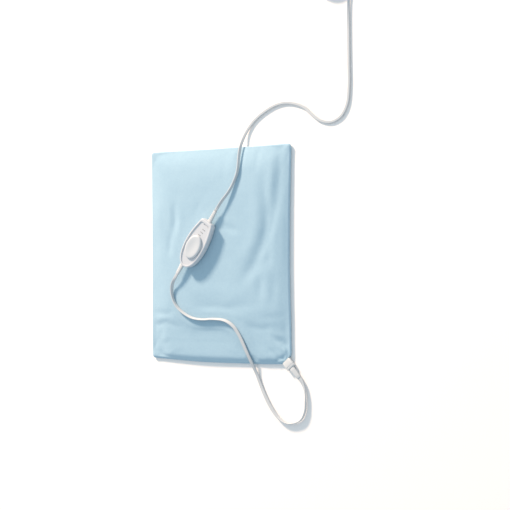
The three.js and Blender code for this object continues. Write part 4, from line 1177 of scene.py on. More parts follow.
@dataclass
class Studio:
    """Pale floor, soft light from the upper left and the camera."""

    floor_size: float = 9.0
    floor_cells: int = 8
    floor_drop: float = 0.0004
    camera_place: Point = (1.320653, -0.014582, 1.854736)
    camera_turns: Point = (-0.0029048, -0.591600, 0.0053551)
    focal_pixels: float = 1272.017
    frame_pixels: float = 510.0
    sensor: float = 36.0
    key_bearing: PlanPoint = (-0.57, 0.82)
    key_elevation: float = 24.5
    key_distance: float = 4.2
    key_size: float = 0.686
    key_power: float = 238.0
    key_colour: Colour = (1.26, 1.0, 0.794)
    sky_colour: Colour = (0.861, 1.0, 1.111)
    sky_strength: float = 0.687

    def build(self) -> None:
        """Builds the floor, the lights and the camera."""
        self._floor()
        self._key()
        self._sky()
        self._camera()
        LOG.info("stage set")

    def _floor(self) -> None:
        """Lays the floor just under the part."""
        cells = {"x_subdivisions": self.floor_cells, "y_subdivisions": self.floor_cells}
        floor = Workpiece("floor").add(bpy.ops.mesh.primitive_grid_add, size=self.floor_size, **cells)
        floor.obj.data.transform(Matrix.Translation((0, 0, -self.floor_drop)))
        FloorPaint().dress(floor.obj)

    def _key(self) -> None:
        """Adds the key light, which looks at the pad's middle."""
        elevation = math.radians(self.key_elevation)
        bearing = Vector((*self.key_bearing, 0)).normalized() * math.cos(elevation)
        place = Vector((bearing.x, bearing.y, math.sin(elevation))) * self.key_distance
        bpy.ops.object.light_add(type="AREA", location=place)
        key = bpy.context.object
        key.name = "key_light"
        key.data.shape = "DISK"
        key.data.size = self.key_size
        key.data.energy = self.key_power
        key.data.color = self.key_colour
        key.rotation_euler = (-place).to_track_quat("-Z", "Y").to_euler()

    def _sky(self) -> None:
        """Adds an even sky."""
        world = bpy.data.worlds.new("studio_sky")
        world.use_nodes = True
        sky = world.node_tree.nodes["Background"]
        sky.inputs["Color"].default_value = (*self.sky_colour, 1.0)
        sky.inputs["Strength"].default_value = self.sky_strength
        bpy.context.scene.world = world

    def _camera(self) -> None:
        """Sets the camera at the photograph's place and field of view."""
        data = bpy.data.cameras.new("camera")
        data.sensor_width = self.sensor
        data.lens = self.sensor * self.focal_pixels / self.frame_pixels
        camera = in_scene("camera", data)
        x, y, z = self.camera_turns
        turn = Matrix.Rotation(x, 4, "X") @ Matrix.Rotation(y, 4, "Y") @ Matrix.Rotation(z, 4, "Z")
        camera.matrix_world = Matrix.Translation(self.camera_place) @ turn.transposed()
        bpy.context.scene.camera = camera
        bpy.context.scene.view_settings.view_transform = "Standard"


@dataclass(frozen=True)
class Run:
    """A line of straight stretches on the pad's plan, in millimetres."""

    line: tuple[PlanPoint, ...]

    def nearest(self, x: Array, y: Array) -> tuple[Array, Array]:
        """Finds the line's nearest place to each point.

        Args:
            x, y: Places on the pad's plan.

        Returns:
            The distances, and the places along the line from 0 to 1.
        """
        lengths = [math.dist(a, b) for a, b in zip(self.line, self.line[1:])]
        whole, done = sum(lengths), 0.0
        distance = np.full(x.shape, np.inf)
        place = np.zeros(x.shape)
        for (ax, ay), (bx, by), span in zip(self.line, self.line[1:], lengths):
            share = np.clip(((x - ax) * (bx - ax) + (y - ay) * (by - ay)) / span ** 2, 0, 1)
            away = np.hypot(x - ax - share * (bx - ax), y - ay - share * (by - ay))
            closer = away < distance
            distance = np.where(closer, away, distance)
            place = np.where(closer, (done + share * span) / whole, place)
            done += span
        return distance, place


@dataclass(frozen=True)
class Fold(Run):
    """A soft ridge or valley in the cover along a line, which fades towards both ends."""

    height: float
    width: float
    END_SHARE = 0.06
    FADE_POWER = 0.8

    def lift(self, x: Array, y: Array) -> Array:
        """Gives how far the fold lifts each point.

        Args:
            x, y: Places on the pad's plan.

        Returns:
            The lift of each point.
        """
        distance, place = self.nearest(x, y)
        fade = np.sin(np.pi * (self.END_SHARE + (1 - 2 * self.END_SHARE) * place)) ** self.FADE_POWER
        return self.height * fade * np.exp(-(distance / self.width) ** 2)


COVER_FOLDS = (
    Fold(((100, 129), (104, 100), (108, 71), (109, 45), (98, 15), (80, -17), (60, -43)), -2.9, 10),
    Fold(((82, 101), (88, 60), (81, 25), (61, -9)), 1.2, 12),
    Fold(((132, 204), (132, 158), (130, 118), (125, 84), (116, 55), (104, 26)), -2.0, 9),
    Fold(((116, 174), (117, 128), (112, 91)), 0.8, 8),
    Fold(((138, 70), (140, 24), (137, -28)), 0.6, 8),
    Fold(((12, 51), (32, 46), (50, 40)), -1.2, 6),
    Fold(((118, -6), (92, -19), (70, -42)), -1.3, 11),
    Fold(((112, 30), (109, -21)), -1.1, 8),
    Fold(((93, -33), (94, -79)), -1.8, 9),
    Fold(((121, -36), (119, -84)), -1.1, 8),
    Fold(((-41, -93), (14, -97), (74, -90)), -1.5, 10),
    Fold(((-60, -66), (-4, -62), (50, -68)), 0.5, 10),
    Fold(((-147, -129), (-113, -125), (-83, -132)), -1.6, 5),
    Fold(((-148, -104), (-115, -108), (-92, -102)), -1.1, 5),
    Fold(((-146, -118), (-110, -116)), 0.6, 5),
    Fold(((69, -126), (98, -132), (122, -128)), -1.4, 6),
    Fold(((102, -134), (126, -141), (148, -143)), 1.1, 5),
    Fold(((96, -112), (140, -108)), -0.7, 6),
    Fold(((107, -146), (133, -155), (150, -158)), -1.8, 5),
    Fold(((100, -165), (126, -168), (148, -170)), 1.7, 5),
    Fold(((-142, -172), (-38, -174), (63, -176)), 1.0, 6),
    Fold(((-95, 90), (-92, 64), (-96, 38)), -2.5, 7),
    Fold(((-104, 38), (-106, 0)), -2.1, 7),
    Fold(((-81, 92), (-77, 60), (-83, 34)), 0.5, 6),
    Fold(((-128, 120), (-132, 60), (-128, 0)), 0.5, 9),
    Fold(((-44, 74), (-36, 94)), -0.6, 5),
    Fold(((20, 180), (16, 140), (22, 110)), -0.6, 7),
    Fold(((88, 190), (86, 150)), -0.9, 6),
)

TAIL_RUNS = (
    Run(((90, -176), (118, -176), (130, -170))),
    Run(((90, -134), (96, -150), (131, -172))),
    Run(((110, -134), (113, -150), (134, -170))),
)


@dataclass(frozen=True)
class Rumple:
    """Smooth noise over the pad's plan, with its height and the size of its hollows in millimetres."""

    height: float
    size: float
    seed: float

    def lift(self, x: Array, y: Array) -> Array:
        """Gives how far the noise lifts each point.

        Args:
            x, y: Places on the pad's plan.

        Returns:
            The lift of each point.
        """
        places = zip(x.ravel(), y.ravel())
        flat = [noise.noise(Vector((a / self.size, b / self.size, self.seed))) for a, b in places]
        return self.height * np.array(flat).reshape(x.shape)


COVER_RUMPLES = (Rumple(0.75, 85, 3.1), Rumple(0.42, 34, 8.7), Rumple(0.17, 15, 1.9))
EDGE_RUMPLE = Rumple(0.6, 60, 5.5)


@dataclass
class ClothCeiling:
    """What lies on the pad and keeps the cloth down: the cords and the control."""

    cords: list[FlatCord]
    cord_sink: float = 0.15
    cord_reach: float = 4.0
    control_half: PlanPoint = (48.0, 22.0)
    control_reach: float = 30.0
    control_gap: float = 0.1
    rise: float = 0.02
    open_height: float = 99.0

    def height(self, x: Array, y: Array, crown: float) -> Array:
        """Gives the height that the cloth has to stay under.

        Args:
            x, y: Places on the pad's plan.
            crown: Height of the pad's middle.

        Returns:
            The highest place of each point.
        """
        top = np.full(x.shape, self.open_height)
        for cord in self.cords:
            roll = np.radians(cord.rolls)
            half = cord.thickness / 2 * np.abs(np.cos(roll)) + cord.width / 2 * np.abs(np.sin(roll))
            under = cord.centre_line[:, 2] - half + self.cord_sink
            for (px, py), limit in zip(cord.centre_line[::2, :2], under[::2]):
                away = np.maximum(np.hypot(x - px, y - py) - self.cord_reach, 0)
                top = np.minimum(top, limit + self.rise * away ** 2)
        along, over = own_plan(CONTROL_FRAME, x, y)
        half_long, half_wide = self.control_half
        away = np.maximum(np.hypot(along / half_long, over / half_wide) - 1, 0) * self.control_reach
        return np.minimum(top, crown + self.control_gap + self.rise * away ** 2)


@dataclass
class ClothSupport:
    """What lies in the pad and holds the cloth up: the wires, their tails and the corner block."""

    wires_out: float = 112.0
    wires_far: float = 150.0
    wire_cover: float = 10.4
    wire_fall: float = 0.012
    tails_out: float = 102.0
    tails_low: float = 177.0
    tail_cover: float = 10.1
    tail_side_fall: float = 0.006
    tail_fall: float = 0.045
    tail_half: float = 2.0
    block_cover: float = 7.6
    block_back: float = 16.0
    block_half: float = 6.0
    block_fall: float = 0.03

    def height(self, x: Array, y: Array, sag: Array) -> Array:
        """Gives the height that the cloth is held up to.

        Args:
            x, y: Places on the pad's plan.
            sag: How much fuller the cloth is at its low end.

        Returns:
            The lowest place of each point.
        """
        past_x = np.maximum(np.abs(x) - self.wires_out, 0)
        past_y = np.maximum(np.abs(y) - self.wires_far, 0)
        held = self.wire_cover - self.wire_fall * (past_x ** 2 + past_y ** 2)
        past_x = np.maximum(np.abs(x) - self.tails_out, 0)
        past_y = np.maximum(-self.tails_low - sag - y, 0) + np.maximum(y, 0)
        low_end = self.tail_cover - self.tail_side_fall * past_x ** 2 - self.tail_fall * past_y ** 2
        held = np.maximum(held, low_end)
        for tail in TAIL_RUNS:
            away = np.maximum(tail.nearest(x, y)[0] - self.tail_half, 0)
            held = np.maximum(held, self.tail_cover - self.tail_fall * away ** 2)
        along, over = own_plan(CORNER_FRAME, x, y)
        past_x = np.maximum(-self.block_back - along, 0)
        past_y = np.maximum(np.abs(over) - self.block_half, 0)
        return np.maximum(held, self.block_cover - self.block_fall * np.hypot(past_x, past_y) ** 2)


@dataclass
class CornerMouth:
    """The corner where the cloth is drawn back to the moulded block and gathered round it."""

    at: float = -0.3
    soft: float = 3.0
    gathers: int = 7
    gather_height: float = 1.3
    gather_fade: float = 15.0
    gather_from: float = 7.0
    top_from: float = 5.0
    top_run: float = 3.0

    def draw_back(self, points: Array) -> Array:
        """Draws the corner back and gathers its upper side.

        Args:
            points: The cover's points.

        Returns:
            The moved points.
        """
        own = moved(points, CORNER_FRAME.inverted() @ TO_METRES)
        past = np.maximum(own[:, 0] - self.at + self.soft, 0)
        drawn = self.at - self.soft + self.soft * np.tanh(past / self.soft)
        own[:, 0] = np.where(past > 0, drawn, own[:, 0])
        away = np.hypot(own[:, 0], own[:, 1])
        spread = np.arctan2(own[:, 1], -own[:, 0])
        fade = np.exp(-away / self.gather_fade) * ramp(away, 0, self.gather_from)
        on_top = ramp(own[:, 2], self.top_from, self.top_run)
        own[:, 2] += self.gather_height * np.cos(self.gathers * spread) * fade * on_top
        return moved(own, TO_MILLIMETRES @ CORNER_FRAME)


@dataclass
class ClothSwell:
    """A short cloth simulation that swells the cover under a light pressure, by a limited amount."""

    limit: float = 0.8
    low: float = 3.0
    run: float = 4.0
    side_share: float = 0.25
    pressure: float = 4.0
    frames: int = 20
    quality: int = 5
    mass: float = 0.3
    stretch: float = 15.0
    bending: float = 0.6

    def _simulate(self, piece: Piece, resting: Array) -> Array:
        """Runs the simulation and takes it off again.

        Args:
            piece: The cover.
            resting: A mark on the points that stay on the table.

        Returns:
            Where the points end, in metres.
        """
        scene = bpy.context.scene
        group = piece.vertex_groups.new(name="on_table")
        group.add(np.flatnonzero(resting).tolist(), 1.0, "REPLACE")
        cloth = piece.modifiers.new("swell", "CLOTH")
        cloth.settings.quality = self.quality
        cloth.settings.mass = self.mass
        cloth.settings.tension_stiffness = self.stretch
        cloth.settings.compression_stiffness = self.stretch
        cloth.settings.bending_stiffness = self.bending
        cloth.settings.use_pressure = True
        cloth.settings.uniform_pressure_force = self.pressure
        cloth.settings.effector_weights.gravity = 0
        cloth.settings.vertex_group_mass = group.name
        cloth.collision_settings.use_collision = False
        cloth.point_cache.frame_start = 1
        cloth.point_cache.frame_end = self.frames
        for frame in range(1, self.frames + 1):
            scene.frame_set(frame)
        swollen = piece.evaluated_get(bpy.context.evaluated_depsgraph_get()).data
        grown = np.empty(len(swollen.vertices) * 3)
        swollen.vertices.foreach_get("co", grown)
        piece.modifiers.remove(cloth)
        piece.vertex_groups.remove(group)
        scene.frame_set(1)
        return grown.reshape(-1, 3)

    def settle(self, piece: Piece, resting: Array) -> None:
        """Sinks the upper side by the limit and lets it swell back.

        Args:
            piece: The cover.
            resting: A mark on the points that stay on the table.
        """
        mesh, limit = piece.data, self.limit * MM
        start = np.empty(len(mesh.vertices) * 3)
        mesh.vertices.foreach_get("co", start)
        start = start.reshape(-1, 3)
        start[:, 2] -= limit * ramp(start[:, 2] / MM, self.low, self.run)
        mesh.vertices.foreach_set("co", start.ravel())
        move = self._simulate(piece, resting) - start
        reach = np.maximum(np.linalg.norm(move, axis=1), TINY * MM)
        move *= np.minimum(1, limit / reach)[:, None]
        move[:, :2] *= self.side_share
        move[resting] = 0
        LOG.info("cover swell: middle %.2f mm, most %.2f mm", np.median(reach) / MM, reach.max() / MM)
        mesh.vertices.foreach_set("co", (start + move).ravel())
        mesh.update()


@dataclass
class PadCover:
    """The cloth cover of the pad and the soft filling inside it."""

    ceiling: ClothCeiling
    support: ClothSupport = field(default_factory=ClothSupport)
    mouth: CornerMouth = field(default_factory=CornerMouth)
    swell: ClothSwell = field(default_factory=ClothSwell)
    width: float = 305.0
    length: float = 381.0
    corner_radius: float = 6.0
    left_draw_in: float = 0.9
    right_draw_in: float = 3.8
    end_draw_in: float = 0.4
    low_end_fullness: float = 3.5
    rim: float = 6.6
    crown: float = 14.9
    crown_power: float = 4.5
    plan_power: int = 9
    far_fullness: float = 1.45
    edge_tuck: float = 0.985
    low_edge_tuck: float = 0.98
    edge_band: float = 0.05
    edge_fold_share: float = 0.15
    edge_wave_from: float = 0.9
    edge_wave_run: float = 0.1
    edge_wave_in: float = 0.1
    edge_wave_radius: float = 170.0
    low_side_from: float = 92.0
    low_side_run: float = 62.0
    low_side_drop: float = 2.3
    low_rim_from: float = 0.9
    low_rim_run: float = 0.08
    loaded_below: float = 19.0
    loaded_run: float = 3.0
    loaded_sink: float = 0.2
    drape: float = 0.4
    resting_below: float = 0.3
    cells_across: int = 76
    cells_along: int = 94
    cell_crowding: float = 1.3
    rim_rows: int = 7
    wall: float = 1.3
    floor_gap: float = 0.5
    filling_back: float = 5.0

    def _edge(self, u: Array, v: Array) -> tuple[Array, Array]:
        """Turns points on a unit square's border into points on the pad's outline.

        Args:
            u: Across the square, from -1 to 1.
            v: Along the square, from -1 to 1.

        Returns:
            The places along the width and the length.
        """
        half_x, half_y, radius = self.width / 2, self.length / 2, self.corner_radius
        on_side = np.abs(u) >= np.abs(v)
        draw_in = np.where(u > 0, self.right_draw_in, -self.left_draw_in)
        x = half_x * u - np.where(on_side, draw_in * np.cos(QUARTER_TURN * v), 0)
        end_move = np.where(v > 0, -self.end_draw_in, -self.low_end_fullness)
        y = half_y * v + np.where(on_side, 0, end_move * np.cos(QUARTER_TURN * u))
        past_x = np.abs(x) - (half_x - radius)
        past_y = np.abs(y) - (half_y - radius)
        reach = np.maximum(np.hypot(past_x, past_y), TINY)
        corner = (past_x > 0) & (past_y > 0)
        x = np.where(corner, np.sign(x) * (half_x - radius + past_x * radius / reach), x)
        y = np.where(corner, np.sign(y) * (half_y - radius + past_y * radius / reach), y)
        return x, y

    def _grid(self) -> tuple[Array, Array, Array]:
        """Gives the plan of the cover's upper side, with smaller cells near the edge.

        Returns:
            The two places and the share of the way to the edge, one row per column of cells.
        """
        sides = [np.linspace(-1, 1, cells + 1) for cells in (self.cells_across, self.cells_along)]
        sides = [np.sign(s) * (1 - (1 - np.abs(s)) ** self.cell_crowding) for s in sides]
        u, v = np.meshgrid(*sides, indexing="ij")
        share = np.maximum(np.maximum(np.abs(u), np.abs(v)), TINY)
        x, y = self._edge(u / share, v / share)
        return x * share, y * share, share

    def _upper(self, x: Array, y: Array, share: Array) -> Array:
        """Gives the height of the upper side with its folds.

        Args:
            x, y: Places on the pad's plan.
            share: Share of the way to the edge.

        Returns:
            The heights.
        """
        across = np.abs(x) / (self.width / 2 * self.edge_tuck)
        along = np.abs(y) / (self.length / 2 * self.edge_tuck)
        along = np.where(y > 0, along ** self.far_fullness, along)
        power = self.plan_power
        soft = np.clip((across ** power + along ** power) ** (1 / power), 0, 1)
        base = self.rim + (self.crown - self.rim) * (1 - soft ** self.crown_power)
        folds = sum(shape.lift(x, y) for shape in COVER_FOLDS + COVER_RUMPLES)
        folds = folds - self.low_side_drop * eased(ramp(-y, self.low_side_from, self.low_side_run))
        inner = ramp(1 - share, 0, self.edge_band)
        z = base + folds * (self.edge_fold_share + (1 - self.edge_fold_share) * inner)
        ceiling = self.ceiling.height(x, y, self.crown)
        loaded = ramp(self.loaded_below - ceiling, 0, self.loaded_run)
        held = np.minimum(base, ceiling) - self.loaded_sink
        z = z + (np.maximum(held, z) - z) * loaded
        sag = self.low_end_fullness * np.cos(np.pi * x / self.width)
        support = self.support.height(x, y, sag)
        z = support + self.drape * np.logaddexp(0, (z - support) / self.drape)
        return np.minimum(z, ceiling)

    def _rim(self, edge: Array, top: Array, top_tuck: Array) -> list[Array]:
        """Gives the rows of points between the two sides, sloping at the pad's low end.

        Args:
            edge: Plan of the outline.
            top: Height of the upper side's border.
            top_tuck: Share of the outline's length that the upper side's border has.

        Returns:
            The rows from the top down.
        """
        tuck = self.edge_tuck
        sloping = ramp(-edge[:, 1] / (self.length / 2), self.low_rim_from, self.low_rim_run)
        rows = []
        for k in range(1, self.rim_rows):
            angle = math.pi * (0.5 - k / self.rim_rows)
            bulge = np.full(len(edge), math.cos(angle))
            height = top * (1 + math.sin(angle)) / 2
            end_tuck = np.full(len(edge), tuck)
            if angle > 0:
                end_tuck = top_tuck
                slope = 2 * k / self.rim_rows
                bulge += (slope - bulge) * sloping
                height += (top * (1 - slope / 2) - height) * sloping
            out = np.column_stack([tuck + (1 - tuck) * bulge, end_tuck + (1 - end_tuck) * bulge])
            rows.append(np.column_stack([edge * out, height]))
        return rows

    def _points(self) -> tuple[Array, Array]:
        """Gives the cover's points: upper side, lower side and the rows between them.

        Returns:
            The points in millimetres, and a mark on those that lie on the table.
        """
        x, y, share = self._grid()
        tuck = self.edge_tuck
        top_tuck = np.where(y < 0, self.low_edge_tuck, tuck)
        top = self._upper(x * tuck, y * top_tuck, share)
        upper = np.stack([x * tuck, y * top_tuck, top], axis=2).reshape(-1, 3)
        lower = np.stack([x * tuck, y * tuck, np.zeros_like(x)], axis=2).reshape(-1, 3)
        ring = self._ring()
        edge = np.stack([x.ravel()[ring], y.ravel()[ring]], axis=1)
        points = np.vstack([upper, lower, *self._rim(edge, upper[ring, 2], top_tuck.ravel()[ring])])
        wave = EDGE_RUMPLE.lift(points[:, 0], points[:, 1]) - self.edge_wave_in
        out = np.abs(points[:, :2] / (self.width / 2, self.length / 2)).max(axis=1)
        wave *= ramp(out, self.edge_wave_from, self.edge_wave_run)
        points[:, :2] *= (1 + wave / self.edge_wave_radius)[:, None]
        resting = points[:, 2] < self.resting_below
        return self.mouth.draw_back(points), resting

    def _ring(self) -> list[int]:
        """Gives the border points of a side, in order round the pad.

        Returns:
            The numbers of the points.
        """
        nx, ny = self.cells_across, self.cells_along
        ring = [(i, 0) for i in range(nx)] + [(nx, j) for j in range(ny)]
        ring += [(i, ny) for i in range(nx, 0, -1)] + [(0, j) for j in range(ny, 0, -1)]
        return [i * (ny + 1) + j for i, j in ring]

    def _faces(self) -> list[tuple[int, ...]]:
        """Gives the faces that join the points of the two sides and the rows between them.

        Returns:
            Four point numbers for each face.
        """
        nx, ny = self.cells_across, self.cells_along
        count = (nx + 1) * (ny + 1)
        faces = []
        for i in range(nx):
            for j in range(ny):
                a, b = i * (ny + 1) + j, (i + 1) * (ny + 1) + j
                faces.append((a, b, b + 1, a + 1))
                faces.append((count + a, count + a + 1, count + b + 1, count + b))
        ring = self._ring()
        n = len(ring)
        rows = [ring]
        rows += [[2 * count + k * n + p for p in range(n)] for k in range(self.rim_rows - 1)]
        rows.append([count + p for p in ring])
        for above, below in zip(rows, rows[1:]):
            for k in range(n):
                faces.append((above[k], below[k], below[(k + 1) % n], above[(k + 1) % n]))
        return faces

    def build(self) -> Piece:
        """Builds the cover and the filling.

        Returns:
            The cover.
        """
        points, resting = self._points()
        work = Workpiece("pad_cover")
        cover = work.obj = from_points(work.name, points, self._faces())
        self.swell.settle(cover, resting)
        self._fill(cover)
        work.modify("SUBSURF", levels=1, render_levels=1)
        shade_smooth(cover.data)
        deliver(cover, CoverCloth(), "cover_fabric", FIXED_BODY, "fabric_cover")
        return cover

    def _fill(self, cover: Piece) -> None:
        """Makes the sealed envelope with its filling as a smaller copy of the cover.

        Args:
            cover: The cover before its cells are divided.
        """
        mesh = cover.data.copy()
        mesh.name = "pad_filling"
        filling = in_scene(mesh.name, mesh)
        places = [v.co - v.normal * self.wall * MM for v in mesh.vertices]
        back = CORNER_FRAME.inverted()
        for vertex, place in zip(mesh.vertices, places):
            own = back @ place
            own.x = min(own.x, self.mouth.at - self.filling_back)
            place = CORNER_FRAME @ own
            vertex.co = (place.x, place.y, max(place.z, self.floor_gap * MM))
        shade_smooth(mesh)
        deliver(
            filling, VINYL, "envelope_vinyl", FIXED_BODY,
            "vinyl_upper", "vinyl_lower", "upper_batting", "lower_batting", "element_carrier",
        )


class Way(Enum):
    """Which way a sleeve points along its frame's X axis, as a turn about the vertical."""

    FORWARD = 0.0
    BACK = math.pi


@dataclass
class StrainRelief:
    """A tapered sleeve round a flat cord, ribbed or smooth, which grows along the X axis of its frame."""

    name: str
    frame: Matrix
    node: str
    start: float
    length: float = 22.0
    root_wide: float = 4.4
    root_high: float = 2.75
    tip_share: float = 0.8
    ribs: int = 5
    rib_depth: float = 0.42
    across: float = 0.0
    height: float = 0.0
    way: Way = Way.FORWARD
    collar: float = 0.0
    collar_wide: float = 1.25
    collar_high: float = 1.35
    collar_step: float = 0.05
    neck: float = 0.0
    end_run: float = 0.5
    end_wide: float = 0.94
    root_end_high: float = 0.92
    tip_end_high: float = 0.9
    smooth_fall: float = 0.25
    smooth_tip_high: float = 0.73
    smooth_end_high: float = 0.66
    squareness: float = 3.2
    ring_points: int = 36
    SMOOTH_STEPS = (0.25, 0.5, 0.75)
    RIB_PROFILE = ((0.12, 0.0), (0.55, 0.0), (0.62, 1.0), (0.95, 1.0))
    PLAIN_TIP = 0.6
    LAST_RIB = 0.05

    def _root(self) -> list[Section]:
        """Gives the sections at the root: a rounded end, or a collar and a neck.

        Returns:
            The sections.
        """
        if not self.collar:
            return [Section(0, self.end_wide, self.root_end_high), Section(self.end_run, 1, 1)]
        wide, high = self.collar_wide, self.collar_high
        return [
            Section(0, wide, high), Section(self.collar, wide, high),
            Section(self.collar + self.collar_step, 1, 1), Section(self.collar + self.neck, 1, 1),
        ]

    def _smooth(self, at: float) -> list[Section]:
        """Gives the sections of a smooth taper.

        Args:
            at: Where the taper starts.

        Returns:
            The sections.
        """
        tip, end = self.tip_share, at + self.length
        rows = []
        for share in self.SMOOTH_STEPS:
            wide, high = 1 - (1 - tip) * share, 1 - self.smooth_fall * share
            rows.append(Section(at + share * self.length, wide, high))
        rows.append(Section(end - self.end_run, tip, self.smooth_tip_high))
        rows.append(Section(end, tip * self.end_wide, self.smooth_end_high))
        return rows

    def _ribbed(self, at: float) -> list[Section]:
        """Gives the sections of a ribbed taper.

        Args:
            at: Where the taper starts.

        Returns:
            The sections.
        """
        tip, end = self.tip_share, at + self.length
        pitch = self.length / (self.ribs + self.PLAIN_TIP)
        rows = []
        for k in range(self.ribs):
            for place, cut in self.RIB_PROFILE:
                along = (k + place) * pitch
                taper = 1 - (1 - tip) * along / self.length
                depth = cut * self.rib_depth
                wide, high = taper - depth / self.root_wide, taper - depth / self.root_high
                rows.append(Section(at + along, wide, high))
        rows.append(Section(at + (self.ribs + self.LAST_RIB) * pitch, tip, tip))
        rows.append(Section(end - self.end_run, tip, tip))
        rows.append(Section(end, tip * self.end_wide, tip * self.tip_end_high))
        return rows

    def build(self) -> Piece:
        """Builds the sleeve.

        Returns:
            The sleeve.
        """
        taper = self._ribbed if self.ribs else self._smooth
        rows = self._root() + taper(self.collar + self.neck)
        half = (self.root_wide, self.root_high)
        work = rounded_bar(self.name, half, self.squareness, self.ring_points, rows)
        turn = Matrix.Rotation(self.way.value, 4, "Z")
        spot = Matrix.Translation((self.start, self.across, self.height))
        sleeve = work.place(self.frame @ spot @ turn)
        return deliver(sleeve, GRIP_WHITE, "cord_plastic", FIXED_BODY, self.node)


@dataclass
class CornerBlock:
    """The moulded block that holds the lead at the pad's corner."""

    half_wide: float = 8.75
    low: float = 0.4
    high: float = 7.4
    start: float = 0.3
    end: float = 16.3
    back_run: float = 0.7
    back_share: PlanPoint = (0.93, 0.9)
    ledge: float = 0.4
    ledge_from: float = 11.2
    ledge_to: float = 12.7
    nose: tuple[Point, ...] = ((1.0, 0.99, 0.98), (0.4, 0.96, 0.94), (0.0, 0.89, 0.86))
    tongue: float = 14.0
    tongue_wide: float = 5.2
    tongue_low: float = 2.4
    tongue_high: float = 5.4
    tongue_in: float = 2.0
    squareness: float = 5.0
    ring_points: int = 48

    def build(self) -> Piece:
        """Builds the block: a rounded head with a stepped ledge and a hidden tongue.

        Returns:
            The block.
        """
        middle, half = (self.low + self.high) / 2, (self.high - self.low) / 2
        waist = (1 - self.ledge / self.half_wide, 1 - self.ledge / half)
        rows = [
            Section(self.start, *self.back_share), Section(self.start + self.back_run, 1, 1),
            Section(self.ledge_from, 1, 1), Section(self.ledge_from + self.ledge, *waist),
            Section(self.ledge_to - self.ledge, *waist), Section(self.ledge_to, 1, 1),
        ]
        rows += [Section(self.end - before, *share) for before, *share in self.nose]
        sizes = (self.half_wide, half)
        work = rounded_bar("corner_block", sizes, self.squareness, self.ring_points, rows)
        work.obj.data.transform(Matrix.Translation((0, 0, middle)))
        tongue = Workpiece("tongue").block(
            (-self.tongue, -self.tongue_wide, self.tongue_low),
            (self.start + self.tongue_in, self.tongue_wide, self.tongue_high),
        )
        work.combine(tongue, Joining.UNITE)
        return deliver(work.place(CORNER_FRAME), GRIP_WHITE, "cord_plastic", FIXED_BODY, "corner_cord_block")


